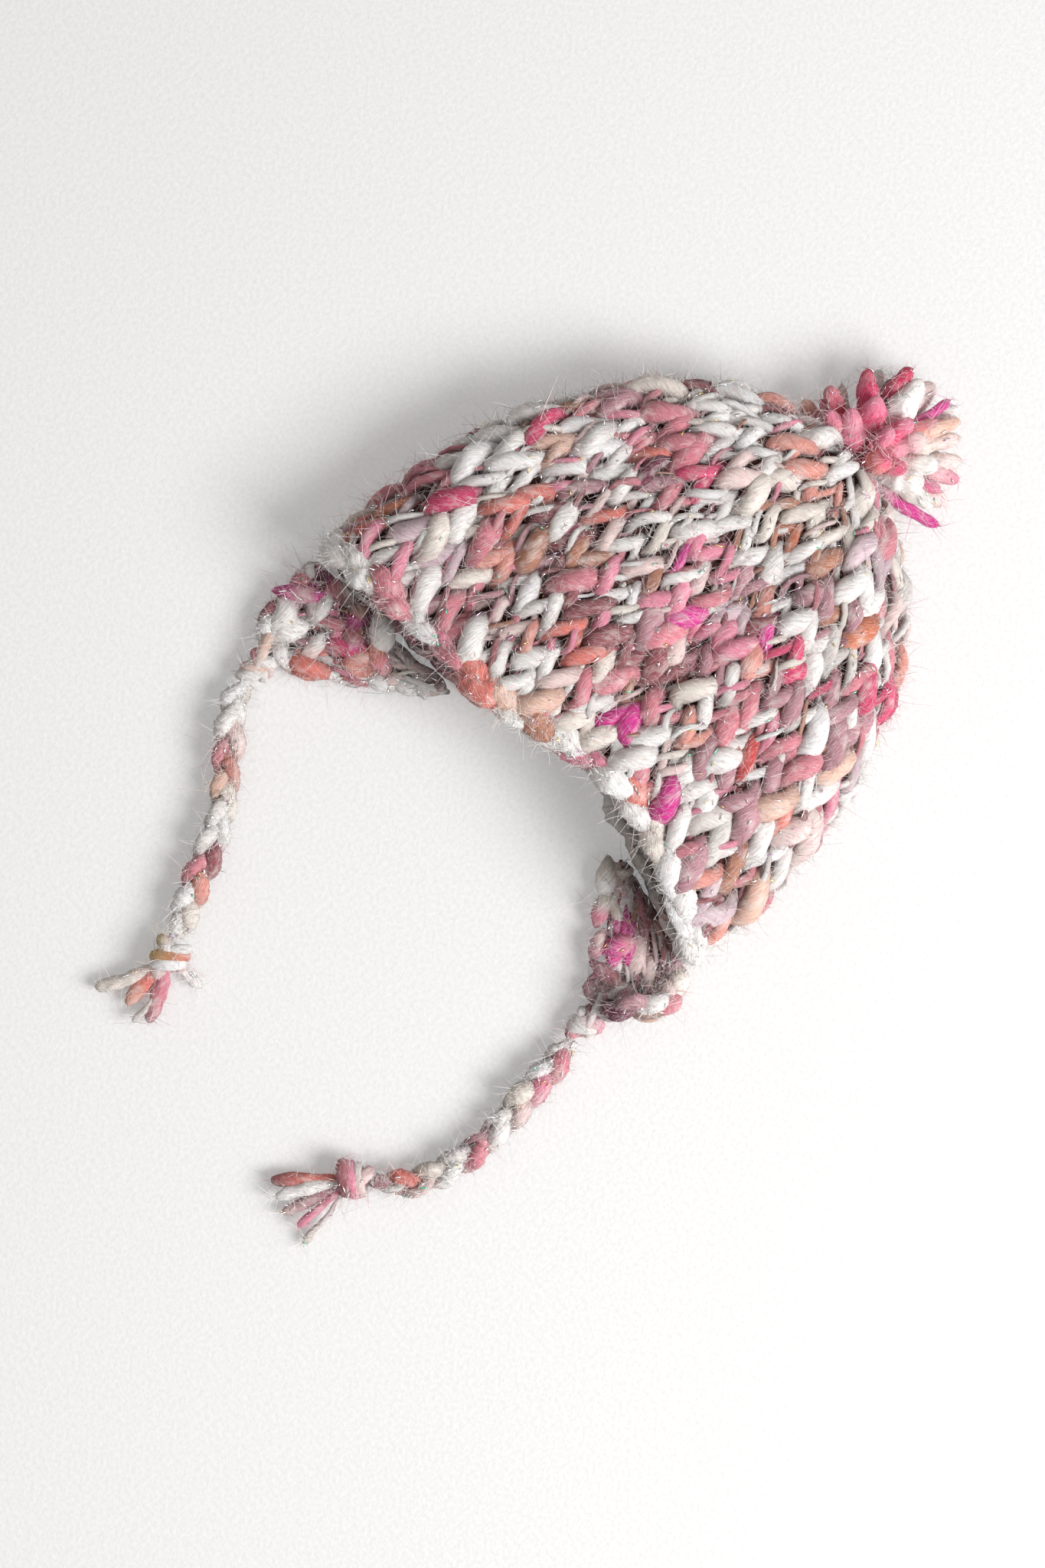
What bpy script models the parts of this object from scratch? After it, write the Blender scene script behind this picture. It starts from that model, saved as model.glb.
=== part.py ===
"""Pom pom beanie for a baby, knitted from super bulky thick-and-thin yarn, lying flat on its back.

Metres, +Z up. The hat lies on the plane z = 0 with its brim towards -Y and its crown and pom pom towards +Y.
The origin is on the flat underside, under the middle of the body.
"""

import math

import bmesh
import bpy
import numpy as np

# ---- driving sizes -------------------------------------------------------------------------------------
GAP = 0.0003              # clearance between pieces that touch
HALF_WIDTH = 0.098        # body, flat, at the brim
BRIM_Y = -0.076           # middle of the front brim edge
CROWN_Y = 0.074           # top of the crown
LYING_HEIGHT = 0.050      # both layers of fabric and the air between them
FABRIC = 0.0105           # one layer of the knitted fabric
CROWN_HEIGHT = 0.024      # height of the closed end at the crown
CROWN_LIFT = 0.003        # how far the crown end rises off the table
DIMPLE_DEPTH = 0.0065     # hollow that the pom pom is drawn into
DIMPLE_RADIUS = 0.010
EDGING_WIDTH = 0.008      # cast-off chain along the brim
EDGING_PROUD = 0.0006     # how far the chain stands out of the fabric on each side
GATHER_RADIUS = 0.008     # drawn-up last round of stitches
GATHER_LENGTH = 0.0028
BINDING_RADIUS = 0.0055   # yarn wound round the middle of the pom pom
POMPOM_X = 0.0021
STRAND_RADIUS = 0.0042    # a plump unspun pom pom strand
STRAND_TAPER = 0.19       # a strand's radius over its distance from what binds it
POMPOM_REACH = 0.040      # binding to the longest tip
KNOT_IN_CROWN_RADIUS = 0.004
FLAP_THICKNESS = 0.0105
LEFT_FLAP_LENGTH = 0.0295  # fold line to tip
RIGHT_FLAP_LENGTH = 0.0350
RIGHT_FLAP_THICKNESS = 0.009
RIGHT_LIP_HEIGHT = 0.024  # how high the right flap's outer edge curls up
RIGHT_LIP_RADIUS = 0.010
RIGHT_LIP_SLOPE = 0.72    # lip height over the distance from the fold line, so that the flap clears the brim
RIGHT_ROOT_INNER_X = 0.048
RIGHT_ROOT_OUTER_X = 0.100
RIGHT_INNER_SLANT = 0.027  # how far the inner edge runs outwards from root to tip
RIGHT_OUTER_BELLY = 0.006  # how far the outer edge bulges
RIGHT_OUTER_SLANT = 0.005  # how far the outer edge runs inwards at the tip
LEFT_ROOT_X = (-0.095, -0.033)
LEFT_TIP_X = -0.0820
LEFT_TIP_WIDTH = 0.017
RIGHT_FOLD_X = (0.050, 0.096)
RIGHT_TIP_X = 0.0885
LOOP_RADIUS = 0.006       # knot that loops each tie through its flap
BRAID_RADIUS = 0.0065
TIE_KNOT_RADIUS = 0.0075  # overhand knot at the end of each braid
TASSEL_RADIUS = 0.0034

ROUND_COUNT = 44          # points round the body's section
DOME_POWER = 2.4          # shape of the crown's outline
SECTION_POWER = 2.6       # how square the flattened body's section is
FLATTEN = 0.25            # how much of the underside is pressed flat

COLOURS = {
    "cream": (0.88, 0.84, 0.79, 1.0),
    "rose": (0.66, 0.42, 0.44, 1.0),
    "salmon": (0.80, 0.45, 0.36, 1.0),
    "magenta": (0.80, 0.10, 0.42, 1.0),
    "tan": (0.62, 0.42, 0.30, 1.0),
}


# ---- helpers -------------------------------------------------------------------------------------------
def clear_scene():
    for thing in list(bpy.data.objects):
        bpy.data.objects.remove(thing, do_unlink=True)


def yarn_material(name, colour):
    """Matt wool in one of the yarn's colours."""
    material = bpy.data.materials.new(name)
    material.use_nodes = True
    shader = material.node_tree.nodes["Principled BSDF"]
    shader.inputs["Base Color"].default_value = COLOURS[colour]
    shader.inputs["Roughness"].default_value = 0.95
    shader.inputs["Metallic"].default_value = 0.0
    return material


def add_piece(name, points, faces, colour, origin=(0.0, 0.0, 0.0)):
    """A mesh object whose own origin is at the given place, with its faces turned outwards."""
    mesh = bpy.data.meshes.new(name)
    mesh.from_pydata((np.asarray(points) - np.asarray(origin)).tolist(), [], faces)
    work = bmesh.new()
    work.from_mesh(mesh)
    bmesh.ops.recalc_face_normals(work, faces=work.faces)
    work.to_mesh(mesh)
    work.free()
    mesh.shade_smooth()
    piece = bpy.data.objects.new(name, mesh)
    piece.location = origin
    bpy.context.scene.collection.objects.link(piece)
    mesh.materials.append(yarn_material(name + "_yarn", colour))
    return piece


def strip_faces(rows, columns, close_rows=False):
    """Quads of a grid whose every row is a closed ring, and with close_rows the last row meets the first."""
    last = rows if close_rows else rows - 1
    faces = []
    for row in range(last):
        following = (row + 1) % rows
        for column in range(columns):
            beside = (column + 1) % columns
            faces.append(
                (
                    row * columns + column,
                    row * columns + beside,
                    following * columns + beside,
                    following * columns + column,
                )
            )
    return faces


def capped_loft(rings):
    """Closed skin over a list of rings, with a pole in the middle of the first and of the last."""
    rings = np.asarray(rings)
    rows, columns = rings.shape[:2]
    points = np.concatenate([rings.reshape(-1, 3), [rings[0].mean(axis=0), rings[-1].mean(axis=0)]])
    faces = strip_faces(rows, columns)
    first_pole = rows * columns
    last_ring = (rows - 1) * columns
    for column in range(columns):
        beside = (column + 1) % columns
        faces.append((first_pole, beside, column))
        faces.append((first_pole + 1, last_ring + column, last_ring + beside))
    return points, faces


def smooth_route(points, step):
    """Points a step apart on a Catmull-Rom curve through hand-chosen ones."""
    known = np.asarray(points, float)
    known = np.concatenate([[2 * known[0] - known[1]], known, [2 * known[-1] - known[-2]]])
    t = np.linspace(0, 1, 24, endpoint=False)[:, None]
    fine = []
    for before, start, end, after in zip(known, known[1:], known[2:], known[3:]):
        fine.append(
            0.5
            * (
                2 * start
                + (end - before) * t
                + (2 * before - 5 * start + 4 * end - after) * t**2
                + (3 * start - before - 3 * end + after) * t**3
            )
        )
    fine = np.concatenate(fine + [known[-2:-1]])
    run = np.concatenate([[0], np.cumsum(np.linalg.norm(np.diff(fine, axis=0), axis=1))])
    wanted = np.linspace(0, run[-1], max(2, round(run[-1] / step)) + 1)
    return np.stack([np.interp(wanted, run, fine[:, axis]) for axis in range(3)], axis=1)


def lump_mesh(centre, radii, sides=14, rows=9):
    """Ellipsoid with its poles along Z."""
    rings = []
    for polar in np.linspace(0, math.pi, rows + 2)[1:-1]:
        turn = np.linspace(0, 2 * math.pi, sides, endpoint=False)
        rings.append(
            np.stack(
                [
                    centre[0] + radii[0] * math.sin(polar) * np.cos(turn),
                    centre[1] + radii[1] * math.sin(polar) * np.sin(turn),
                    np.full(sides, centre[2] + radii[2] * math.cos(polar)),
                ],
                axis=1,
            )
        )
    return capped_loft(rings)


def strand_mesh(centre, bound, azimuth, elevation, reach, radius, sides=8, rows=8):
    """Teardrop strand that points away from a bound middle.

    Its radius grows with its distance from the middle up to its full radius, and its far end is round.
    """
    across, up = math.cos(elevation), math.sin(elevation)
    along = np.array([across * math.cos(azimuth), across * math.sin(azimuth), up])
    side = np.array([-math.sin(azimuth), math.cos(azimuth), 0.0])
    over = np.cross(along, side)
    turn = np.linspace(0, 2 * math.pi, sides, endpoint=False)
    start = bound + GAP
    shoulder = reach - radius
    stations = np.concatenate(
        [
            np.linspace(start, shoulder, rows - 3),
            shoulder + radius * np.sin(np.radians([35, 62, 84])),
        ]
    )
    rings = []
    for distance in stations:
        width = min(STRAND_TAPER * distance, radius)
        if distance > shoulder:
            width *= math.sqrt(max(0.0, 1 - ((distance - shoulder) / radius) ** 2))
        ring = centre + along * distance + width * (
            np.cos(turn)[:, None] * side + np.sin(turn)[:, None] * over
        )
        rings.append(ring)
    return capped_loft(rings)


# ---- the body's shape ----------------------------------------------------------------------------------
def dome_width(share):
    """Half-width at a share of the way from brim to crown, over the half-width at the brim."""
    return math.sqrt(max(0.0, 1 - share**DOME_POWER))


def layer_height(share):
    """Lying height at a share of the way from brim to crown."""
    fall = 1 - math.sqrt(max(0.0, 1 - share**3))
    return LYING_HEIGHT + (CROWN_HEIGHT - LYING_HEIGHT) * fall


def underside(share):
    """Height of the underside: on the table, then lifting towards the crown."""
    return CROWN_LIFT * max(0.0, (share - 0.86) / 0.14) ** 2


def flat_section(half_width, low, high, inset=0.0):
    """Closed superellipse in X and Z whose underside is pressed flat, offset inwards by the inset."""
    turn = np.linspace(0, 2 * math.pi, ROUND_COUNT, endpoint=False)
    power = 2 / SECTION_POWER
    middle = low + 0.46 * (high - low)
    width = half_width - inset
    x = width * np.sign(np.cos(turn)) * np.abs(np.cos(turn)) ** power
    lift = np.abs(np.sin(turn)) ** power
    above = middle + (high - inset - middle) * lift
    below = middle - (middle - low - inset) * (1 + FLATTEN) * lift
    z = np.where(np.sin(turn) >= 0, above, np.maximum(below, low + inset))
    return turn, x, z


def brim_edge(x, front):
    """Y of the brim edge: it dips at the sides and is pulled up right of the middle, less on the back layer.

    front runs from 1 on the front layer to -1 on the back layer, and is 0 at the side folds.
    """
    across = x / HALF_WIDTH
    edge = BRIM_Y - 0.007 * across**2 + 0.002 * across
    pulled_front = 0.013 * np.exp(-0.5 * ((x - 0.042) / 0.026) ** 2)
    pulled_back = 0.009 * np.exp(-0.5 * ((x - 0.035) / 0.035) ** 2) - 0.004
    on_front = np.clip(front, 0, 1) ** 0.5
    on_back = np.clip(-front, 0, 1) ** 0.5
    return edge + pulled_front * on_front + pulled_back * on_back


def body_ring(y, inset, half_width, length):
    """One ring of the body at a nominal Y, with the brim's waviness fading out towards the crown."""
    share = min(1.0, (y - BRIM_Y) / length)
    low, high = underside(share), underside(share) + layer_height(share)
    turn, x, z = flat_section(half_width * dome_width(share), low, high, inset)
    at_brim = HALF_WIDTH * np.sign(np.cos(turn)) * np.abs(np.cos(turn)) ** (2 / SECTION_POWER)
    wave = brim_edge(at_brim, np.sin(turn)) - BRIM_Y
    fade = max(0.0, 1 - (y - BRIM_Y) / 0.075) ** 1.5
    start = EDGING_WIDTH + GAP
    return np.stack([x, y + start * fade + wave * fade, z], axis=1)


def dome_rows(count, length, least_width):
    """Nominal Y of each ring, closer together where the crown turns in."""
    last = math.acos(least_width)
    angles = np.linspace(0, last, count)
    return BRIM_Y + length * np.sin(angles) ** (2 / DOME_POWER)


BODY_LENGTH = CROWN_Y - BRIM_Y
INNER_LENGTH = BODY_LENGTH - 1.42 * FABRIC
INNER_CROWN_WIDTH = 0.16
GATHER_Y = CROWN_Y - DIMPLE_DEPTH + GAP
CROWN_Z = CROWN_LIFT + CROWN_HEIGHT / 2


def make_body():
    """Knitted tube, closed at the crown: outer skin down to the open brim, then inner skin back up."""
    outer = [body_ring(y, 0.0, HALF_WIDTH, BODY_LENGTH) for y in dome_rows(15, BODY_LENGTH, 0.17)]
    inner = [
        body_ring(y, FABRIC, HALF_WIDTH, INNER_LENGTH)
        for y in dome_rows(11, INNER_LENGTH, INNER_CROWN_WIDTH + FABRIC / HALF_WIDTH)
    ]
    turn = np.linspace(0, 2 * math.pi, ROUND_COUNT, endpoint=False)
    rim = np.stack(
        [
            POMPOM_X + DIMPLE_RADIUS * np.cos(turn),
            np.full(ROUND_COUNT, CROWN_Y - 0.0012),
            CROWN_Z + DIMPLE_RADIUS * np.sin(turn),
        ],
        axis=1,
    )
    floor = rim.copy()
    floor[:, 0] = POMPOM_X + (DIMPLE_RADIUS - 0.0008) * np.cos(turn)
    floor[:, 1] = CROWN_Y - DIMPLE_DEPTH
    floor[:, 2] = CROWN_Z + (DIMPLE_RADIUS - 0.0008) * np.sin(turn)
    points, faces = capped_loft([floor, rim] + outer[::-1] + inner)
    return add_piece("knit_body", points, faces, "cream")


def make_edging():
    """Cast-off chain: an oval carried round the brim, in line with the fabric's middle."""
    outer = body_ring(BRIM_Y, -EDGING_PROUD, HALF_WIDTH, BODY_LENGTH)
    inner = body_ring(BRIM_Y, FABRIC + EDGING_PROUD, HALF_WIDTH, BODY_LENGTH)
    middle = (outer + inner) / 2
    half_wall = (outer - inner) / 2
    reach = EDGING_WIDTH / 2
    middle[:, 1] -= GAP + reach
    rows = []
    for around in np.linspace(0, 2 * math.pi, 8, endpoint=False) + math.pi / 8:
        row = middle + half_wall * math.cos(around) / math.cos(math.pi / 8)
        row[:, 1] += reach * math.sin(around) / math.cos(math.pi / 8) * 0.92
        row[:, 2] = np.maximum(row[:, 2], 0.0)
        rows.append(row)
    rings = np.stack(rows)
    faces = strip_faces(len(rows), ROUND_COUNT, close_rows=True)
    return add_piece("brim_edging", rings.reshape(-1, 3), faces, "cream")


def make_gather():
    """Last round of stitches, drawn up into a small thick disc in the dimple of the crown."""
    rings = []
    turn = np.linspace(0, 2 * math.pi, 20, endpoint=False)
    for along, share in ((0.0, 0.82), (0.25, 1.0), (0.75, 1.0), (1.0, 0.82)):
        ring = np.stack(
            [
                POMPOM_X + GATHER_RADIUS * share * np.cos(turn),
                np.full(len(turn), GATHER_Y + along * GATHER_LENGTH),
                CROWN_Z + GATHER_RADIUS * share * np.sin(turn),
            ],
            axis=1,
        )
        rings.append(ring)
    points, faces = capped_loft(rings)
    return add_piece("crown_gather", points, faces, "tan")


# ---- the pom pom ---------------------------------------------------------------------------------------
BINDING_CENTRE = np.array([POMPOM_X, GATHER_Y + GATHER_LENGTH + GAP + BINDING_RADIUS, CROWN_Z])
POMPOM_LAYERS = (
    # elevation, azimuths and share of the reach
    (-9, (172, 145, 119, 94, 69, 43, 13), 1.0),
    (24, (158, 130, 103, 76, 50, 24), 0.97),
    (54, (138, 90, 42), 0.84),
)
STRAND_COLOURS = ("magenta", "salmon", "rose", "cream")


def make_pompom():
    """Plump strands that fan out of a bound middle, shorter on the side that is pressed against the hat."""
    radii = (BINDING_RADIUS,) * 3
    points, faces = lump_mesh(BINDING_CENTRE, radii)
    add_piece("pompom_binding", points, faces, "rose", BINDING_CENTRE)
    number = 0
    for elevation, azimuths, share in POMPOM_LAYERS:
        for azimuth in azimuths:
            number += 1
            reach = POMPOM_REACH * share * (1 - 0.3 * max(0.0, (azimuth - 95) / 80) ** 1.2)
            points, faces = strand_mesh(
                BINDING_CENTRE,
                BINDING_RADIUS,
                math.radians(azimuth),
                math.radians(elevation),
                reach,
                STRAND_RADIUS,
            )
            colour = STRAND_COLOURS[number % len(STRAND_COLOURS)]
            add_piece(f"pompom_strand_{number:02d}", points, faces, colour, BINDING_CENTRE)


def make_knot_in_crown():
    """Knot inside the crown that the pom pom's binding yarn is tied off with."""
    inside = dome_rows(11, INNER_LENGTH, INNER_CROWN_WIDTH + FABRIC / HALF_WIDTH)[-1]
    centre = (POMPOM_X, inside - GAP - KNOT_IN_CROWN_RADIUS, CROWN_Z + 0.003)
    points, faces = lump_mesh(centre, (KNOT_IN_CROWN_RADIUS,) * 3, sides=10, rows=6)
    add_piece("pompom_anchor_knot", points, faces, "cream")


# ---- the ear flaps -------------------------------------------------------------------------------------
def fold_line(x_start, x_end, radius):
    """Two ends of a flap's fold line: straight, and clear of the edging by the gap and the flap's radius."""
    x = np.linspace(x_start, x_end, 24)
    slope_share = (x - x_start) / (x_end - x_start)
    edge = brim_edge(x, -np.sqrt(1 - np.abs(x / HALF_WIDTH) ** SECTION_POWER))
    straight = edge[0] + (edge[-1] - edge[0]) * slope_share
    clear = np.min(edge - straight)
    start = np.array([x_start, edge[0] + clear - GAP - radius, radius])
    end = np.array([x_end, edge[-1] + clear - GAP - radius, radius])
    return start, end


LEFT_FOLD = fold_line(*LEFT_ROOT_X, FLAP_THICKNESS / 2)
RIGHT_FOLD = fold_line(*RIGHT_FOLD_X, RIGHT_FLAP_THICKNESS / 2)
LEFT_TIP = (LEFT_TIP_X, min(LEFT_FOLD[0][1], LEFT_FOLD[1][1]) - LEFT_FLAP_LENGTH)
RIGHT_TIP = (RIGHT_TIP_X, (RIGHT_FOLD[0][1] + RIGHT_FOLD[1][1]) / 2 - RIGHT_FLAP_LENGTH)


def make_left_flap():
    """Flat flap with a rounded root, which turns about its own fold line, and rounded sides."""
    start, end = LEFT_FOLD
    half = FLAP_THICKNESS / 2
    tip_left = np.array([LEFT_TIP[0] - LEFT_TIP_WIDTH / 2, LEFT_TIP[1] + half, half])
    tip_right = np.array([LEFT_TIP[0] + LEFT_TIP_WIDTH / 2, LEFT_TIP[1] + half, half])
    rows = []
    for lag in np.radians([82, 62, 40, 15]):
        rows.append((0.0, math.cos(lag), math.sin(lag)))
    for share in np.linspace(0, 1, 9):
        rows.append((share, 1.0, 0.0))
    for lag in np.radians([30, 60, 80]):
        rows.append((1.0, math.cos(lag), -math.sin(lag)))
    turn = np.linspace(0, 2 * math.pi, 20, endpoint=False)
    rings = []
    for share, thickness, beyond in rows:
        left, right = start + (tip_left - start) * share**1.6, end + (tip_right - end) * share**0.75
        side = (right - left) / np.linalg.norm(right - left)
        forward = np.array([-side[1], side[0], 0.0])
        reach = np.linalg.norm(right - left) / 2
        x = reach * np.sign(np.cos(turn)) * np.abs(np.cos(turn)) ** 0.35
        z = half * thickness * np.sign(np.sin(turn)) * np.abs(np.sin(turn)) ** 0.8
        ring = (left + right) / 2 + x[:, None] * side + z[:, None] * np.array([0, 0, 1.0])
        rings.append(ring + forward * half * beyond)
    points, faces = capped_loft(rings)
    return add_piece("left_ear_flap", points, faces, "rose", (start + end) / 2)


def trough_section(inner, outer, lip, half):
    """Closed ring round a curved sheet: flat from its inner side, then curling up by the lip's angle."""
    bend = RIGHT_LIP_RADIUS
    flat = np.linspace(inner + half, outer - bend - half, 6)
    path = [(x, half, 0.0) for x in flat]
    for angle in np.linspace(0, lip, 7)[1:]:
        path.append(
            (
                flat[-1] + bend * math.sin(angle),
                half + bend * (1 - math.cos(angle)),
                angle,
            )
        )
    path = np.array(path)
    normal = np.stack([-np.sin(path[:, 2]), np.cos(path[:, 2])], axis=1)
    along = np.stack([np.cos(path[:, 2]), np.sin(path[:, 2])], axis=1)
    upper = path[:, :2] + normal * half
    lower = path[:, :2] - normal * half
    nose = path[-1, :2] + half * (
        np.cos([0.9, 0.0, -0.9])[:, None] * along[-1] + np.sin([0.9, 0.0, -0.9])[:, None] * normal[-1]
    )
    tail = path[0, :2] - half * (
        np.cos([-0.9, 0.0, 0.9])[:, None] * along[0] + np.sin([-0.9, 0.0, 0.9])[:, None] * -normal[0]
    )
    return np.concatenate([upper, nose, lower[::-1], tail[::-1]])


def make_right_flap():
    """Flap that lies with its inner side up and its outer edge curled over, like a shallow trough."""
    start, end = RIGHT_FOLD
    half = RIGHT_FLAP_THICKNESS / 2
    middle = (start + end) / 2
    lean = (end[1] - start[1]) / (end[0] - start[0])
    stations = [(0.0, lag) for lag in (-82, -62, -40, -15)]
    stations += [(share, 0) for share in np.linspace(0, 1, 10)[1:]]
    stations += [(1.0, lag) for lag in (35, 65, 82)]
    rings = []
    for share, lag in stations:
        squeeze = math.cos(math.radians(lag))
        beyond = half * math.sin(math.radians(lag))
        distance = share * (RIGHT_FLAP_LENGTH - half)
        inner = RIGHT_ROOT_INNER_X + RIGHT_INNER_SLANT * min(1.0, share / 0.62) ** 1.2
        belly = RIGHT_OUTER_BELLY * math.sin(math.pi * min(1.0, share / 0.8))
        outer = RIGHT_ROOT_OUTER_X + belly - RIGHT_OUTER_SLANT * share**3
        lip_height = min(RIGHT_LIP_HEIGHT, RIGHT_LIP_SLOPE * distance) * (1 - 0.55 * share**4)
        lip = math.acos(1 - min(lip_height, 1.45 * RIGHT_LIP_RADIUS) / RIGHT_LIP_RADIUS)
        section = trough_section(inner, outer, lip, half)
        x, z = section[:, 0], half + (section[:, 1] - half) * squeeze
        if share == 1.0:
            x = x.mean() + (x - x.mean()) * (0.55 + 0.45 * squeeze)
        y = middle[1] + lean * (x - middle[0]) * (1 - share) - distance - beyond
        rings.append(np.stack([x, y, z], axis=1))
    points, faces = capped_loft(rings)
    return add_piece("right_ear_flap", points, faces, "cream", middle)


# ---- the ties ------------------------------------------------------------------------------------------
LEFT_LOOP = np.array([LEFT_TIP[0], LEFT_TIP[1] - GAP - LOOP_RADIUS, LOOP_RADIUS])
RIGHT_LOOP = np.array([RIGHT_TIP[0], RIGHT_TIP[1] - GAP - LOOP_RADIUS, LOOP_RADIUS])
BRAID_Z = BRAID_RADIUS + GAP
# Each route starts where the braid leaves its loop, and its points are measured from there.
LEFT_ROUTE = (
    (0.0, 0.0), (0.0020, -0.0062), (0.0058, -0.0118), (0.0104, -0.0172), (0.0152, -0.0222),
    (0.0204, -0.0266), (0.0252, -0.0318), (0.0284, -0.0358), (0.0310, -0.0400), (0.0336, -0.0444),
    (0.0362, -0.0488), (0.0382, -0.0532), (0.0403, -0.0578), (0.0428, -0.0622), (0.0455, -0.0668),
    (0.0480, -0.0715), (0.0512, -0.0768),
)
RIGHT_ROUTE = (
    (0.0, 0.0), (0.0010, -0.0055), (0.0023, -0.0112), (0.0031, -0.0172), (0.0038, -0.0234),
    (0.0046, -0.0296), (0.0054, -0.0358), (0.0058, -0.0416), (0.0059, -0.0470), (0.0058, -0.0520),
    (0.0055, -0.0570), (0.0049, -0.0618), (0.0041, -0.0666), (0.0028, -0.0712), (0.0005, -0.0760),
    (-0.0030, -0.0808), (-0.0080, -0.0852),
)
LEFT_TASSEL = ((-110, 0, 0.0285), (-84, 0, 0.0225), (-60, 0, 0.0240), (-72, 38, 0.0220), (6, 0, 0.0150))
RIGHT_TASSEL = ((-130, 0, 0.0290), (-118, 38, 0.0270), (-105, 0, 0.0280), (-90, 36, 0.0225), (-79, 0, 0.0290))


def laid_route(loop_centre, route):
    """The route's points on the table, from the face where the braid leaves its loop."""
    heading = np.array(route[1]) - np.array(route[0])
    start = loop_centre[:2] + heading / np.linalg.norm(heading) * (LOOP_RADIUS + GAP)
    return [(start[0] + x, start[1] + y, BRAID_Z) for x, y in route]


def knot_centre(route):
    """The knot sits past the braid's end, in line with it, by the gap and its own radius."""
    end, before = np.array(route[-1]), np.array(route[-2])
    along = (end - before) / np.linalg.norm(end - before)
    centre = end + along * (TIE_KNOT_RADIUS + GAP)
    return np.array([centre[0], centre[1], TIE_KNOT_RADIUS])


def make_tie(side, loop_centre, route, tassel):
    """One tie: the knot that loops it through the flap, the braid, its end knot and its loose ends."""
    points, faces = lump_mesh(loop_centre, (LOOP_RADIUS,) * 3)
    add_piece(f"{side}_tie_loop", points, faces, "cream", loop_centre)

    laid = laid_route(loop_centre, route)
    path = smooth_route(laid, 2.2 * BRAID_RADIUS)
    curve = bpy.data.curves.new(f"{side}_tie_braid", "CURVE")
    curve.dimensions = "3D"
    curve.bevel_depth = BRAID_RADIUS
    curve.bevel_resolution = 3
    curve.use_fill_caps = True
    spline = curve.splines.new("POLY")
    spline.points.add(len(path) - 1)
    for point, place in zip(spline.points, path):
        point.co = (*(place - loop_centre), 1.0)
    braid = bpy.data.objects.new(f"{side}_tie_braid", curve)
    braid.location = loop_centre
    bpy.context.scene.collection.objects.link(braid)
    curve.materials.append(yarn_material(f"{side}_tie_braid_yarn", "cream"))

    knot = knot_centre(laid)
    points, faces = lump_mesh(knot, (TIE_KNOT_RADIUS,) * 3)
    add_piece(f"{side}_tie_knot", points, faces, "cream", loop_centre)
    for number, (azimuth, elevation, reach) in enumerate(tassel, 1):
        middle = knot - np.array([0, 0, TIE_KNOT_RADIUS - TASSEL_RADIUS - 0.002])
        points, faces = strand_mesh(
            knot if elevation else middle,
            TIE_KNOT_RADIUS,
            math.radians(azimuth),
            math.radians(elevation),
            reach,
            TASSEL_RADIUS,
            rows=7,
        )
        colour = STRAND_COLOURS[(number + 1) % len(STRAND_COLOURS)]
        add_piece(f"{side}_tassel_end_{number}", points, faces, colour, loop_centre)


clear_scene()
make_body()
make_edging()
make_gather()
make_pompom()
make_knot_in_crown()
make_left_flap()
make_right_flap()
make_tie("left", LEFT_LOOP, LEFT_ROUTE, LEFT_TASSEL)
make_tie("right", RIGHT_LOOP, RIGHT_ROUTE, RIGHT_TASSEL)

print("crown height", round(CROWN_Z, 5), "binding", np.round(BINDING_CENTRE, 5))
print("left fold", np.round(LEFT_FOLD, 5), "right fold", np.round(RIGHT_FOLD, 5))
print("left loop", np.round(LEFT_LOOP, 5), "right loop", np.round(RIGHT_LOOP, 5))
print("left knot", np.round(knot_centre(laid_route(LEFT_LOOP, LEFT_ROUTE)), 5))
print("right knot", np.round(knot_centre(laid_route(RIGHT_LOOP, RIGHT_ROUTE)), 5))
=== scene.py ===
# %% [markdown]
# # A baby's beanie in thick-and-thin yarn
# The beanie lies flat on its back: a knitted tube drawn together at the crown, a cast-off chain along the
# brim, an ear flap on each side, a braided tie on each flap, and a small pom pom. Everything here is yarn,
# so one idea makes nearly all of it: a path in space, and a round skin carried along it. The imported model
# gives the sizes and the places. It is loaded first.

import bpy
import numpy as np
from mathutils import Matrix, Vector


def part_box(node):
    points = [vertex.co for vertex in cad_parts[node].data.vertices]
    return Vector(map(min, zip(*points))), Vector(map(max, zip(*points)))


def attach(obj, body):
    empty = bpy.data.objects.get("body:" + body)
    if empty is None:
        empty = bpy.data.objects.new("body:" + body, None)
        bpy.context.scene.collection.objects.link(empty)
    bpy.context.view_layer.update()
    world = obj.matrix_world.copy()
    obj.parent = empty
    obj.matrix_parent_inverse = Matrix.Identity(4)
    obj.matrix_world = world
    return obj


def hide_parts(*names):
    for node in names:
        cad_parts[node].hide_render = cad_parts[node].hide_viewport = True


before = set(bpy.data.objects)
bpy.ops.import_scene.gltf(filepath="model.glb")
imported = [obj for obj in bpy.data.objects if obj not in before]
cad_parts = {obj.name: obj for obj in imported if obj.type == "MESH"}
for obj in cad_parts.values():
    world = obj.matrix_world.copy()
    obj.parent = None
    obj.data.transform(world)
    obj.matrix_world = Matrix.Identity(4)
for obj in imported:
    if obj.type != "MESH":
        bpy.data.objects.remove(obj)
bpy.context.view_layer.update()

# %% [markdown]
# ## The camera
# The hat is looked at from straight above, and it lies turned on the table. It is easier to leave the hat
# square and to turn the camera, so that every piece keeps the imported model's axes. A fairly long lens keeps
# the perspective gentle, as it is for somebody who stands on a chair and looks down.

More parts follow.
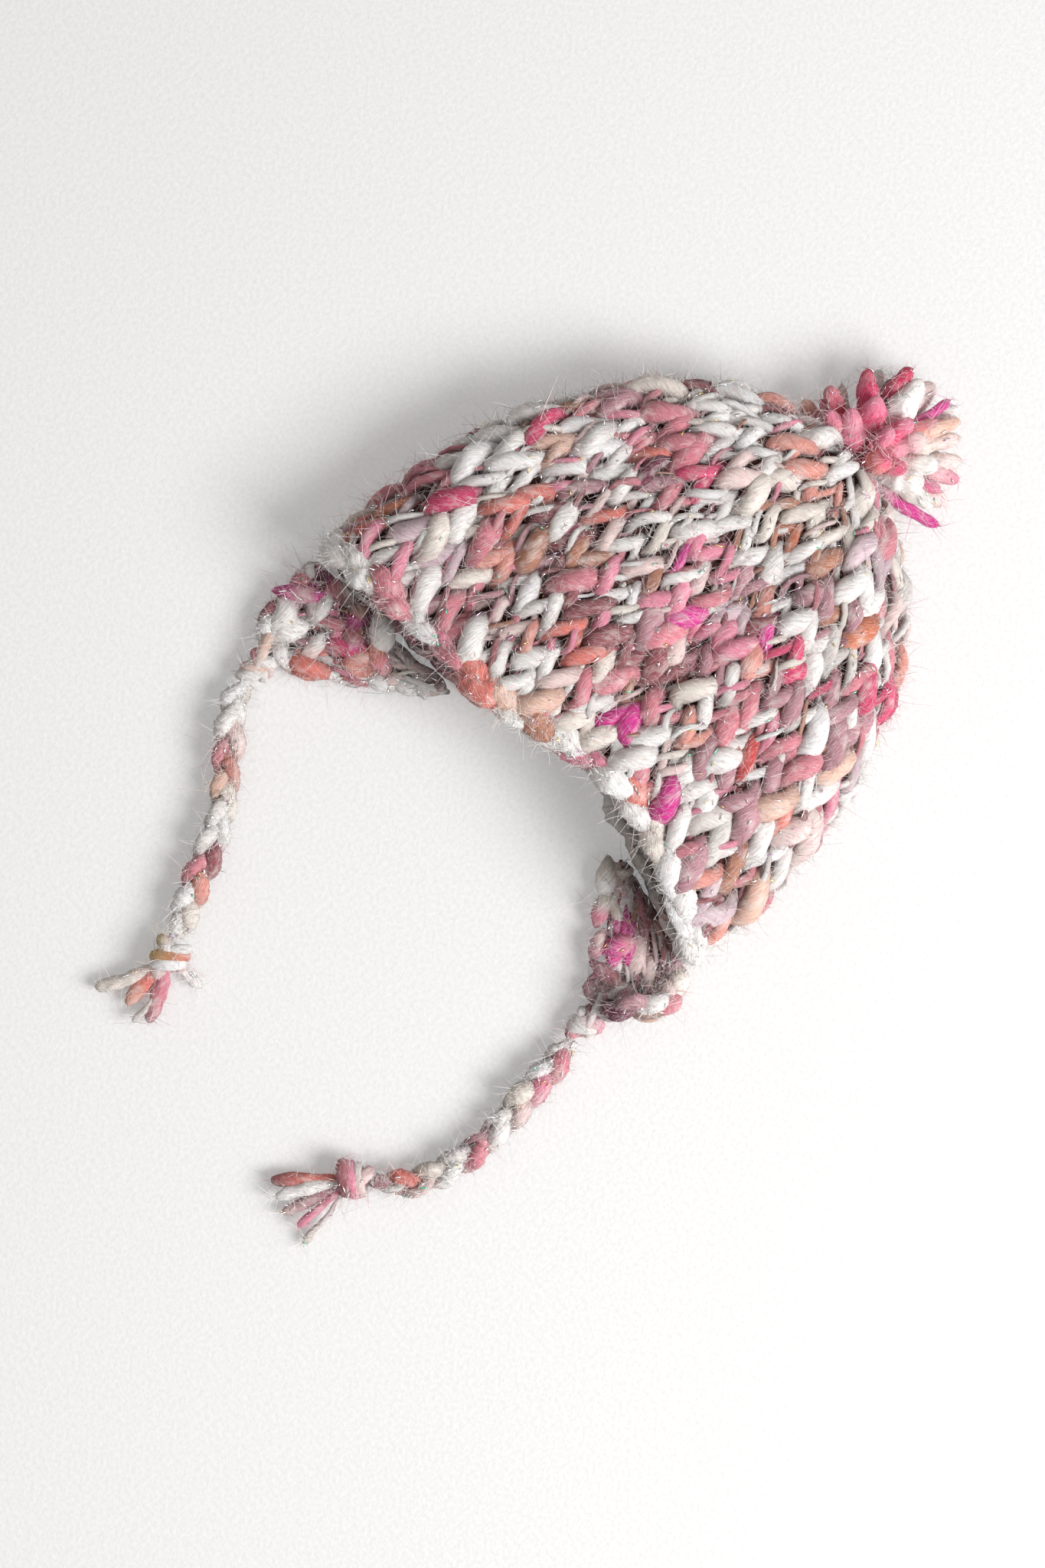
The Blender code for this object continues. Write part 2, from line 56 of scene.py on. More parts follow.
# %% Camera
MM = 0.001
VIEW_MIDDLE = (10.1 * MM, -84.4 * MM)
VIEW_HEIGHT = 1.306
camera_data = bpy.data.cameras.new("camera")
camera_data.lens = 85
camera = bpy.data.objects.new("camera", camera_data)
camera.location = (*VIEW_MIDDLE, VIEW_HEIGHT)
camera.rotation_euler = (0, 0, np.radians(49))
bpy.context.scene.collection.objects.link(camera)
bpy.context.scene.camera = camera
bpy.context.scene.view_settings.view_transform = "Standard"
print("camera is", VIEW_HEIGHT, "m up with a", camera_data.lens, "mm lens")

# %% [markdown]
# ## A skin round many strands at once
# A strand is a row of centre points with a radius at each. Every ring of its skin is
# centre + radius x (cos(turn) x side + sin(turn) x over),
# where side and over are square to the strand's direction. All strands that have the same number of points
# are worked out together, as one array of strand x point x place round the ring. That is why thousands of
# stitches take no loop over points. The seam of the texture map runs along the underside of each strand,
# where it is least seen.

# %% Skin
def unit(vectors):
    """Each vector divided by its own length."""
    return vectors / np.maximum(np.linalg.norm(vectors, axis=-1, keepdims=True), 1e-12)


def directions(centres, closed):
    """Direction of each strand at each point: the next point minus the one before, made one long."""
    if closed:
        return unit(np.roll(centres, -1, axis=1) - np.roll(centres, 1, axis=1))
    return unit(np.gradient(centres, axis=1))


TWIST_LENGTH = 0.011


def skin(centres, radii, up, sides=12, closed=False, flatten=1.0, lobes=0.0):
    """Rings round strands: centre + radius (cos(turn) side + flatten sin(turn) over).

    With lobes, the radius goes up and down three times round the ring, and that pattern winds along it.
    """
    along = directions(centres, closed)
    side = unit(np.cross(along, up))
    over = np.cross(side, along)
    turn = 2 * np.pi * np.arange(sides) / sides - np.pi / 2
    ring = np.cos(turn)[:, None] * side[:, :, None, :] + flatten * np.sin(turn)[:, None] * over[:, :, None, :]
    steps = np.linalg.norm(np.diff(centres, axis=1, prepend=centres[:, :1]), axis=-1)
    wound = 2 * np.pi * np.cumsum(steps, axis=1) / TWIST_LENGTH
    radii = radii[:, :, None] * (1 + lobes * np.sin(3 * turn - wound[:, :, None]))
    return centres[:, :, None, :] + radii[..., None] * ring


def strand_faces(strands, points, sides, closed):
    """Corner numbers of the quads between rings, and of the caps that close an open strand's two ends."""
    ring_count = strands * points * sides
    strand, point, turn = np.meshgrid(
        np.arange(strands), np.arange(points if closed else points - 1), np.arange(sides), indexing="ij"
    )
    following = (point + 1) % points
    beside = (turn + 1) % sides

    def number(which_point, which_turn):
        return (strand * points + which_point) * sides + which_turn

    corners = [number(point, turn), number(following, turn), number(following, beside), number(point, beside)]
    quads = np.stack(corners, axis=-1).reshape(-1, 4)
    if closed:
        return quads, np.zeros((0, 3), int)
    strand, turn = np.meshgrid(np.arange(strands), np.arange(sides), indexing="ij")
    beside = (turn + 1) % sides
    first = strand * points * sides
    last = first + (points - 1) * sides
    start_pole = ring_count + strand * 2
    starts = np.stack([start_pole, first + turn, first + beside], axis=-1).reshape(-1, 3)
    ends = np.stack([start_pole + 1, last + beside, last + turn], axis=-1).reshape(-1, 3)
    return quads, np.concatenate([starts, ends])


def strand_map(centres, sides, closed):
    """Texture map of the strands: 1 unit is 10 mm along a strand, and 2 units go once round it."""
    strands, points = centres.shape[:2]
    ahead = np.roll(centres, -1, axis=1)
    if not closed:
        ahead[:, -1] = centres[:, -1]
    steps = np.linalg.norm(ahead - centres, axis=-1)
    run = np.concatenate([np.zeros((strands, 1)), np.cumsum(steps, axis=1)], axis=1) * 100
    run += np.arange(strands)[:, None] * 7.3
    last = points if closed else points - 1
    near, far = run[:, :last, None], run[:, 1 : last + 1, None]
    low = 2 * np.arange(sides) / sides + np.zeros((strands, last, 1))
    high = low + 2 / sides
    near, far = near + 0 * low, far + 0 * low
    quads = np.stack([near, low, far, low, far, high, near, high], axis=-1).reshape(-1, 2)
    if closed:
        return quads
    low, high = low[:, 0], high[:, 0]
    caps = []
    for at, first, second in ((run[:, :1], low, high), (run[:, last : last + 1], high, low)):
        at = at + 0 * low
        caps.append(np.stack([at, (low + high) / 2, at, first, at, second], axis=-1).reshape(-1, 2))
    return np.concatenate([quads, *caps])


print("a strand of 30 points with 12 sides has", strand_faces(1, 30, 12, False)[0].shape[0], "quads")

# %% [markdown]
# ## From arrays to a piece
# The arrays go into a mesh in one step each. The yarn's colour changes along its length, so each point also
# carries a colour of its own, called dye, and the material reads it. A piece may be made of several batches
# of strands. Its object stays at the origin, with its place in its mesh.

# %% Pieces
LOWEST, HIGHEST = 0.15 * MM, 61.0 * MM
MAUVE_SHADOW = np.array([0.037, 0.0103, 0.0103])
FUZZY = {}
print("pieces stay between", round(LOWEST / MM, 2), "and", round(HIGHEST / MM, 2), "mm above the table")


def batch(centres, radii, up, dye, sides=12, closed=False, flatten=1.0, lobes=0.055, deep=0.0):
    """Points, faces, map and point colours of one batch of strands, and where fuzz can grow on it.

    Where a strand's sides turn down into the fabric, its colour moves towards a brown mauve, by the share
    called deep. The brown mauve is painted shade, for the shadow in the crevices between the strands.
    """
    strands, points = centres.shape[:2]
    rings = skin(centres, radii, up, sides, closed, flatten, lobes)
    outward = unit(rings - centres[:, :, None, :])
    along = np.broadcast_to(directions(centres, closed)[:, :, None, :], rings.shape)
    facing = (outward * up[:, :, None, :]).sum(axis=-1)
    # Painted shade: sides that turn down into the crevices darken towards the brown mauve; undersides facing
    # the table are left alone.
    turned_down = np.clip((0.62 - facing) / 0.85, 0, 1)
    underside = np.clip((facing + 0.95) / 0.45, 0, 1)
    painted_shade = (deep * turned_down * underside)[..., None]
    colours = dye[:, :, None, :] * (1 - painted_shade) + MAUVE_SHADOW * painted_shade
    upright = np.broadcast_to(up[:, :, None, 2], facing.shape)
    roots = [part.reshape(-1, part.shape[-1]) for part in (rings, outward, along, colours)]
    roots += [facing.ravel(), upright.ravel()]
    places, shades = rings.reshape(-1, 3), colours.reshape(-1, 3)
    if not closed:
        poles = np.stack([centres[:, 0], centres[:, -1]], axis=1).reshape(-1, 3)
        places = np.concatenate([places, poles])
        shades = np.concatenate([shades, np.stack([dye[:, 0], dye[:, -1]], axis=1).reshape(-1, 3)])
    quads, caps = strand_faces(strands, points, sides, closed)
    return places, quads, caps, strand_map(centres, sides, closed), shades, roots


def add_piece(name, batches, material, body, stands_for=()):
    """One mesh object out of batches of strands, riding on a body."""
    places = np.concatenate([one[0] for one in batches])
    places[:, 2] = np.clip(places[:, 2], LOWEST, HIGHEST)
    starts = np.cumsum([0] + [len(one[0]) for one in batches])
    corners = np.concatenate(
        [part.ravel() + start for one, start in zip(batches, starts) for part in (one[1], one[2])]
    )
    sizes = np.concatenate(
        [np.full(len(part), part.shape[1]) for one in batches for part in (one[1], one[2])]
    )
    mesh = bpy.data.meshes.new(name)
    mesh.vertices.add(len(places))
    mesh.loops.add(len(corners))
    mesh.polygons.add(len(sizes))
    mesh.vertices.foreach_set("co", places.ravel())
    mesh.loops.foreach_set("vertex_index", corners)
    mesh.polygons.foreach_set("loop_start", np.concatenate([[0], np.cumsum(sizes)[:-1]]))
    mesh.polygons.foreach_set("use_smooth", np.ones(len(sizes), bool))
    yarn_map = mesh.uv_layers.new(name="yarn")
    yarn_map.data.foreach_set("uv", np.concatenate([one[3] for one in batches]).ravel())
    dye = mesh.attributes.new("dye", "FLOAT_COLOR", "POINT")
    shades = np.concatenate([one[4] for one in batches])
    dye.data.foreach_set("color", np.concatenate([shades, np.ones((len(shades), 1))], axis=1).ravel())
    mesh.update(calc_edges=True)
    mesh.validate()
    mesh.materials.append(material)
    piece = bpy.data.objects.new(name, mesh)
    bpy.context.scene.collection.objects.link(piece)
    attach(piece, body)
    if stands_for:
        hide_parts(*stands_for)
    FUZZY.setdefault(body, []).extend(one[5] for one in batches if len(one) > 5)
    triangles = int(np.sum(sizes - 2))
    print(f"{name}: {triangles} triangles, rides on {body}")
    return piece


# %% [markdown]
# ## The yarn's colours
# The yarn is hand dyed: mostly undyed white, with rose, mauve, coral, tan and now and then a shock of pink.
# Colours are written as they look on a screen, 0 to 255, and turned into the linear values that the shader
# takes. A list of places and colours lays the big patches where this hat has them; its darker patches in the
# valleys between the rolls are partly the yarn's dye and partly painted shade of those valleys. Between those
# patches the dye runs on along the yarn, two or three legs of a stitch at a time.

# %% Dyes
SHADES = {
    "white": (252, 250, 247), "cream": (246, 238, 228), "grey": (228, 224, 219), "pale": (244, 218, 214),
    "lilac": (220, 196, 204), "mauve": (194, 144, 154), "rose": (220, 136, 148), "dusk": (156, 92, 98),
    "plum": (118, 54, 78), "pink": (240, 148, 172), "hot": (226, 78, 122), "magenta": (222, 62, 154),
    "coral": (228, 128, 116), "salmon": (234, 158, 144), "peach": (242, 200, 180), "tan": (188, 132, 108),
    "orange": (202, 120, 90), "red": (208, 80, 78), "brown": (124, 76, 64), "gold": (212, 182, 116),
    "crimson": (202, 48, 88),
}


def linear(shade):
    """Screen colour to linear: ((c + 0.055) / 1.055)^2.4, and c / 12.92 where it is nearly black."""
    value = np.asarray(shade, float) / 255
    return np.where(value > 0.04045, ((value + 0.055) / 1.055) ** 2.4, value / 12.92)


DYE_NAMES = list(SHADES)
DYES = linear(np.array([SHADES[name] for name in DYE_NAMES]))


def dye_of(*names):
    """Linear colours of the named dyes."""
    return DYES[[DYE_NAMES.index(name) for name in names]]


def numbers(*names):
    """Dye numbers of the named dyes."""
    return np.array([DYE_NAMES.index(name) for name in names])


RUN_CHANCES = {
    "white": 0.36, "cream": 0.10, "grey": 0.02, "pale": 0.08, "lilac": 0.02, "mauve": 0.07, "rose": 0.11,
    "dusk": 0.03, "pink": 0.09, "hot": 0.02, "magenta": 0.02, "coral": 0.03, "salmon": 0.04, "peach": 0.03,
    "tan": 0.02, "plum": 0.01,
}


def dye_run(count, rng, run=2.2):
    """Dye number of each of count legs of yarn: a dye is drawn by its chance, and lasts a few legs."""
    names = list(RUN_CHANCES)
    chances = np.array([RUN_CHANCES[name] for name in names])
    drawn = rng.choice([DYE_NAMES.index(name) for name in names], size=count, p=chances / chances.sum())
    starts = rng.random(count) < 1 / run
    starts[0] = True
    held = np.maximum.accumulate(np.where(starts, np.arange(count), 0))
    return drawn[held]


def patches(text):
    """Places in metres and dye numbers, from words of the form x,y,dye with x and y in millimetres."""
    words = [word.split(",") for word in text.split()]
    places = np.array([[float(word[0]), float(word[1])] for word in words]) * MM
    return places, np.array([DYE_NAMES.index(word[2]) for word in words])


# The dusk, plum, mauve and tan patches in the valleys between the rolls are partly dye and partly painted
# shade.
FRONT_PATCHES = patches(
    "-65.4,29,mauve -59.5,39,cream -56,28,white -70.5,18,rose -52,19,rose -44,16,plum -29,28,hot "
    "-28,21,rose -17,33,white -3,25,white -65,12,white -80.6,0.6,hot -71,1,peach -57,2,salmon -38,-2,coral "
    "-26,-5,white -15.6,3,magenta -14,-7,tan -27,-17,pink -12,-21,hot -58.7,-15.5,coral -62,-27,coral "
    "-85.7,-20.5,rose -51,-30,tan -47,-43,tan -33,-27,rose -16.5,-30,pink -27,-36,white -39,-42.5,white "
    "2,-27,dusk 3,-2,magenta 3,-12,rose 15,-37,tan -90.7,-56,orange -94,-68,coral -63,-55,lilac "
    "-47.7,-69.5,rose -18,-69.5,peach -7,-60,peach 1.5,-65,coral -6,41,tan 5.8,38,orange 19,41,tan "
    "35,31,tan 22,15,dusk 22,4,mauve 28.6,16.6,pink 57,29,rose 51,41,orange 17,-10,mauve 21,-26,rose "
    "54.8,-19,red 66.6,-5,rose 69,-17,mauve 50.5,-12,pink 38.7,-40,pale 37,-31.5,salmon 70.8,12.4,mauve "
    "96,-43,coral 88.5,-14,pink 81,17,rose 65,-52.6,rose 37,-58.5,pink -74,-37,white -84,-2,white "
    "-90,-33,white -78,-62,white -45,-12,white -70,-46,white -36,10,white -20,14,white 12,28,white "
    "44,20,white 60,6,white 80,-32,white 72,-40,white -9,-46,white -18,-55,white 8,-50,white 28,-8,white "
    "46,-28,white 30,-22,white 90,-55,peach 58,-38,white"
)


def leg_dyes(places, facing_up, rng, chosen=FRONT_PATCHES, reach=4.8 * MM):
    """Dye of each leg: that of the nearest patch in reach on the upper side, or else the yarn's run."""
    dyes = dye_run(len(places), rng)
    gaps = np.linalg.norm(places[:, None, :2] - chosen[0][None], axis=-1)
    nearest = gaps.argmin(axis=1)
    taken = (gaps.min(axis=1) < reach * rng.uniform(0.75, 1.25, len(places))) & facing_up
    return np.where(taken, chosen[1][nearest], dyes)


def shade_along(position, dyes, rng, closed, spread=0.05):
    """Colour along a strand: each leg's dye holds over its middle and runs into the next one's."""
    colours = DYES[dyes] * rng.uniform(1 - 2 * spread, 1 + spread, (len(dyes), 1))
    legs = np.arange(len(dyes))
    knots = np.stack([legs + 0.3, legs + 0.7], axis=1).ravel()
    tones = rng.uniform(-0.16, 0.16, (2 * len(dyes), 1))
    held = np.repeat(colours, 2, axis=0)
    held = np.clip(held * (1 + tones * (held.max(axis=1, keepdims=True) < 0.8)), 0, 0.97)
    period = len(dyes) if closed else None
    bands = [np.interp(position, knots, held[:, band], period=period) for band in range(3)]
    return np.stack(bands, axis=1)


print(len(DYE_NAMES), "dyes and", len(FRONT_PATCHES[1]), "patches on the front")

# %% [markdown]
# ## What the yarn's surface looks like
# The yarn is a single loosely twisted roving. Its fibres run slantwise round it, so a noise stretched along
# that slant gives both the fine streaks and the small ridges. The same noise lightens and darkens the dye,
# because each fibre has taken it up a little differently, and a few fibres are left nearly white. Wool
# scatters light at its outline, which the shader's sheen does. It has no gloss to speak of.

# %% Yarn material
def link(tree, source, target):
    """Joins an output socket to an input socket."""
    tree.links.new(source, target)


def ramp(tree, source, low, high, to_low, to_high):
    """Map Range: source from low..high to to_low..to_high, held at its ends."""
    node = tree.nodes.new("ShaderNodeMapRange")
    for socket, value in zip(("From Min", "From Max", "To Min", "To Max"), (low, high, to_low, to_high)):
        node.inputs[socket].default_value = value
    link(tree, source, node.inputs["Value"])
    return node.outputs["Result"]


def noise(tree, vector, scale, detail=2.0, roughness=0.5):
    """Noise value on the given coordinates."""
    node = tree.nodes.new("ShaderNodeTexNoise")
    node.inputs["Scale"].default_value = scale
    node.inputs["Detail"].default_value = detail
    node.inputs["Roughness"].default_value = roughness
    link(tree, vector, node.inputs["Vector"])
    return node.outputs["Fac"]


def mapped(tree, vector, scale=(1, 1, 1), turn=0.0):
    """Coordinates turned about Z, then scaled."""
    rotate = tree.nodes.new("ShaderNodeMapping")
    rotate.inputs["Rotation"].default_value = (0, 0, turn)
    link(tree, vector, rotate.inputs["Vector"])
    stretch = tree.nodes.new("ShaderNodeMapping")
    stretch.inputs["Scale"].default_value = scale
    link(tree, rotate.outputs["Vector"], stretch.inputs["Vector"])
    return stretch.outputs["Vector"]


def mixed(tree, factor, first, second, how="MIX"):
    """Mix of two colours, where each is a socket or a colour."""
    node = tree.nodes.new("ShaderNodeMix")
    node.data_type = "RGBA"
    node.blend_type = how
    for socket, value in ((node.inputs[0], factor), (node.inputs[6], first), (node.inputs[7], second)):
        if isinstance(value, bpy.types.NodeSocket):
            link(tree, value, socket)
        else:
            socket.default_value = value
    return node.outputs[2]


def dye_colour(tree):
    """The colour that the points of the mesh carry."""
    node = tree.nodes.new("ShaderNodeAttribute")
    node.attribute_name = "dye"
    return node.outputs["Color"]


def yarn_place(tree):
    """Place on a strand: how far along it, and how far round."""
    node = tree.nodes.new("ShaderNodeUVMap")
    node.uv_map = "yarn"
    return node.outputs["UV"]


def raised(tree, shader, height, strength, distance):
    """Bump: the surface is shaded as if it stood up where the height is high."""
    node = tree.nodes.new("ShaderNodeBump")
    node.inputs["Strength"].default_value = strength
    node.inputs["Distance"].default_value = distance
    link(tree, height, node.inputs["Height"])
    link(tree, node.outputs["Normal"], shader.inputs["Normal"])


def new_material(name, roughness, sheen=0.0, specular=0.3):
    """A material with a Principled shader, and its node tree and shader node."""
    material = bpy.data.materials.new(name)
    material.use_nodes = True
    tree = material.node_tree
    shader = tree.nodes["Principled BSDF"]
    shader.inputs["Roughness"].default_value = roughness
    shader.inputs["Sheen Weight"].default_value = sheen
    shader.inputs["Sheen Roughness"].default_value = 0.45
    shader.inputs["Specular IOR Level"].default_value = specular
    return material, tree, shader


def yarn_material(name, slant=0.7, ridge=0.8, flecks=0.5, mottle=1.0):
    """Roving: the dye, streaked along a slant round the strand, with the same streaks raised as ridges.

    Broad clouds leave some of it undyed, and tufts of rose have rubbed off on it, both by the share mottle.
    """
    material, tree, shader = new_material(name, 0.95, sheen=0.15, specular=0.1)
    place = yarn_place(tree)
    fibres = noise(tree, mapped(tree, place, (1.4, 9, 1), slant), 1.5, 3.0, 0.65)
    fine = noise(tree, mapped(tree, place, (3, 30, 1), slant * 0.8), 1.3, 3.0, 0.7)
    clouds = noise(tree, mapped(tree, place, (1, 1.6, 1), 0.3), 1.5, 3.0, 0.6)
    tufts = noise(tree, mapped(tree, place, (2.2, 3.4, 1), slant), 1.9, 4.0, 0.7)
    left_white = ramp(tree, clouds, 0.50, 0.74, 0.0, 0.66 * mottle)
    undyed = mixed(tree, left_white, dye_colour(tree), UNDYED_WOOL)
    stained = mixed(tree, ramp(tree, tufts, 0.52, 0.76, 0.0, 0.55 * mottle), undyed, ROSE_STAIN)
    streaked = mixed(tree, 1.0, stained, ramp(tree, fibres, 0.28, 0.66, 0.74, 1.10), "MULTIPLY")
    pale = mixed(tree, ramp(tree, fine, 0.52, 0.70, 0.0, flecks), streaked, PALE_FIBRE)
    link(tree, pale, shader.inputs["Base Color"])
    raised(tree, shader, mixed(tree, 0.45, fibres, fine), ridge, RIDGE_HEIGHT)
    return material


UNDYED_WOOL = (0.90, 0.84, 0.79, 1)
ROSE_STAIN = (0.70, 0.30, 0.36, 1)
PALE_FIBRE = (0.93, 0.89, 0.86, 1)
RIDGE_HEIGHT = 1.4 * MM
YARN = yarn_material("thick_and_thin_yarn")
CUT_YARN = yarn_material("cut_roving_of_pompom", slant=0.35, ridge=0.6, flecks=0.4, mottle=0.45)
print("each yarn material has", len(YARN.node_tree.nodes), "nodes")

# %% [markdown]
# ## The shape that the fabric follows
# The body is a tube pressed flat, closed at the crown. Its section is a superellipse,
# (x/a)^2.6 + (z/b)^2.6 = 1,
# with the underside pressed flat, and its half width falls towards the crown as sqrt(1 - share^2.4).
# The stitches need two coordinates on it: c, the share of the way round, and f, the share of the way from the
# brim to the crown. Both go by real distance, so that stitches keep their size, and that needs the surface as
# a fine grid.

# %% Body surface
HALF_WIDTH, BRIM_Y, CROWN_Y = 0.098, -0.076, 0.074
LYING_HEIGHT, CROWN_HEIGHT, CROWN_LIFT = 0.050, 0.024, 0.003
FABRIC = 0.0105
EDGING_WIDTH = 0.008
CROWN_Z = CROWN_LIFT + CROWN_HEIGHT / 2
POMPOM_X = 0.0021
SECTION_POWER = 2.6
BODY_LENGTH = CROWN_Y - BRIM_Y
GAP = 0.0003
BELOW_BRIM = 0.0045
CROWN_RING = 0.0085
ROLLS = (
    (-0.080, 0.013, 1.2), (-0.056, 0.013, -1.8), (-0.022, 0.015, 1.6), (0.013, 0.009, -2.4),
    (0.029, 0.010, 1.4), (0.047, 0.009, -1.2), (0.066, 0.012, 1.4),
)


def bell(x, middle, width):
    """Bell curve of height 1: e^(-((x - middle) / width)^2 / 2)."""
    return np.exp(-0.5 * ((x - middle) / width) ** 2)


def brim_edge(x, front):
    """Y of the brim: a shallow arc, pulled up by bell curves right of the middle, one for each layer.

    The back layer has a second one, so that its edge stays out of sight under the front between the flaps.
    """
    across = x / HALF_WIDTH
    edge = BRIM_Y - 0.007 * across**2 + 0.002 * across
    pulled_front = 0.013 * bell(x, 0.042, 0.026)
    pulled_back = 0.009 * bell(x, 0.035, 0.035) - 0.004
    pulled_back = pulled_back + 0.0075 * bell(x, 0.020, 0.022)
    return edge + pulled_front * np.clip(front, 0, 1) ** 0.5 + pulled_back * np.clip(-front, 0, 1) ** 0.5


def rolls(x, y):
    """Soft rolls of the upper layer: a sum of bell curves that fades out towards brim and crown."""
    wave = np.zeros_like(x)
    for middle, width, height in ROLLS:
        wave += height * MM * bell(x, middle * (1 - 1.5 * np.clip(y, 0, 0.07)), width)
    return 1.5 * wave * np.clip((0.062 - y) / 0.03, 0, 1) * np.clip((y + 0.09) / 0.03, 0.3, 1)


def body_rings(y, turn, inset):
    """Points of the flattened tube: x = a |cos|^(2/2.6), z = middle + b |sin|^(2/2.6), less the inset."""
    share = np.clip((y - BRIM_Y) / BODY_LENGTH, 0, 1)
    since_brim = np.maximum(0, y - BRIM_Y)
    width = HALF_WIDTH * np.sqrt(1 - share**2.4) - inset
    low = CROWN_LIFT * np.maximum(0, (share - 0.86) / 0.14) ** 2
    high = low + LYING_HEIGHT + (CROWN_HEIGHT - LYING_HEIGHT) * (1 - np.sqrt(1 - share**3))
    middle = low + 0.46 * (high - low)
    power = 2 / SECTION_POWER
    cosine = np.sign(np.cos(turn)) * np.abs(np.cos(turn)) ** power
    lift = np.abs(np.sin(turn)) ** power
    above = middle + (high - inset - middle) * lift
    below = np.maximum(middle - (middle - low - inset) * 1.25 * lift, low + inset)
    fade = np.maximum(0, 1 - since_brim / 0.075) ** 1.5
    wave = brim_edge(HALF_WIDTH * cosine, np.sin(turn)) - BRIM_Y
    x = width * cosine
    placed = y + (EDGING_WIDTH + GAP + wave) * fade
    z = np.where(np.sin(turn) >= 0, above + rolls(x, placed) * lift**2, below)
    return np.stack([x, placed + 0 * x, z], axis=-1)


def even_by_distance(grid, count, axis):
    """A grid of points with even steps of real distance along one axis."""
    grid = np.moveaxis(grid, axis, 0)
    steps = np.linalg.norm(np.diff(grid, axis=0), axis=-1)
    run = np.concatenate([np.zeros((1, grid.shape[1])), np.cumsum(steps, 0)])
    wanted = np.linspace(0, 1, count)
    spaced = np.empty((count, *grid.shape[1:]))
    for line in range(grid.shape[1]):
        for part in range(3):
            spaced[:, line, part] = np.interp(wanted * run[-1, line], run[:, line], grid[:, line, part])
    return np.moveaxis(spaced, 0, axis)


def make_body_grid(inset, rows=220, columns=640):
    """Grid over the body at a depth: from brim to crown, by once round from the middle of the back."""
    angles = np.linspace(0, np.arccos(0.17), 60)
    y = BRIM_Y + BODY_LENGTH * np.sin(angles) ** (2 / 2.4)
    y = np.concatenate([[BRIM_Y - BELOW_BRIM], y])
    turn = np.linspace(-np.pi / 2, 3 * np.pi / 2, 721)
    tube = body_rings(y[:, None], turn[None], inset)
    closing = np.linspace(0, 1, 12)[1:, None, None]
    ring_x, ring_z = POMPOM_X + CROWN_RING * np.cos(turn), CROWN_Z + CROWN_RING * np.sin(turn)
    circle = np.stack([ring_x, 0.0700 + 0 * turn, ring_z], axis=-1)
    end = tube[-1] + (circle - tube[-1]) * closing
    share, start_y = closing[..., 0], tube[-1, :, 1]
    end[..., 1] = start_y + 0.001 * np.sin(np.pi * share) + (circle[:, 1] - start_y) * share**2
    grid = np.concatenate([tube, end])
    return even_by_distance(even_by_distance(grid, columns + 1, 1), rows, 0)


BODY_GRID = make_body_grid(FABRIC / 2)
ROUND = np.linalg.norm(np.diff(BODY_GRID, axis=1), axis=-1).sum(axis=1)
RISE = np.linalg.norm(np.diff(BODY_GRID, axis=0), axis=-1).sum(axis=0)


def grid_normals(grid):
    """Outward direction at each grid point: the cross product of the steps along and round."""
    around = np.gradient(grid, axis=1)
    around[:, 0] = around[:, -1] = (grid[:, 1] - grid[:, -2]) / 2
    return unit(np.cross(np.gradient(grid, axis=0), around))


BODY_NORMALS = grid_normals(BODY_GRID)


def sample(grid, c, f):
    """Value of a grid at shares c round and f along, by straight lines between its four nearest points."""
    rows, columns = grid.shape[0] - 1, grid.shape[1] - 1
    down = np.clip(f, 0, 1) * rows
    over = (c % 1.0) * columns
    row, column = np.minimum(down.astype(int), rows - 1), np.minimum(over.astype(int), columns - 1)
    down, over = (down - row)[..., None], (over - column)[..., None]
    lower = grid[row, column] * (1 - over) + grid[row, column + 1] * over
    upper = grid[row + 1, column] * (1 - over) + grid[row + 1, column + 1] * over
    return lower * (1 - down) + upper * down


def on_body(c, f):
    """Place and outward direction on the body, with the distance round there and from brim to crown."""
    width = np.interp(f, np.linspace(0, 1, len(ROUND)), ROUND)
    length = np.interp(c % 1.0, np.linspace(0, 1, len(RISE)), RISE)
    return sample(BODY_GRID, c, f), unit(sample(BODY_NORMALS, c, f)), width, length


print("round the brim:", round(ROUND[0] / MM), "mm")
print("brim to crown, at four places round:", np.round(RISE[[0, 160, 320, 480]] / MM), "mm")

# %% [markdown]
# ## One row of knitting
# In plain knitting a row is one long snake of yarn. Followed with t from 0 to 2 pi for each stitch, it goes
# sideways by t / 2 pi + a sin(2 t), up and down by cos(t), and in and out of the fabric by -cos(2 t). The
# two legs of every stitch come out as a V on the face, and the heads and feet go to the back, behind the
# legs of the next row. That is how the real fabric holds together, and it gives the right look from inside
# too. The yarn here is thick and thin, so each leg draws its own thickness, and is fattest somewhere near
# its middle.

# %% Stitch rows
LEG_LEAN = 0.33
WAVE_DEPTH = 2.6 * MM
LEG_RADIUS = 3.1 * MM
HEAD_RADIUS = 1.7 * MM
STITCH_WIDTH = 11.5 * MM


def leg_sizes(count, rng, spread=0.36):
    """Thickness of each leg over the usual one: a log-normal draw, kept between half and one and a half."""
    return np.clip(np.exp(rng.normal(-0.03, spread, count)), 0.46, 1.5)


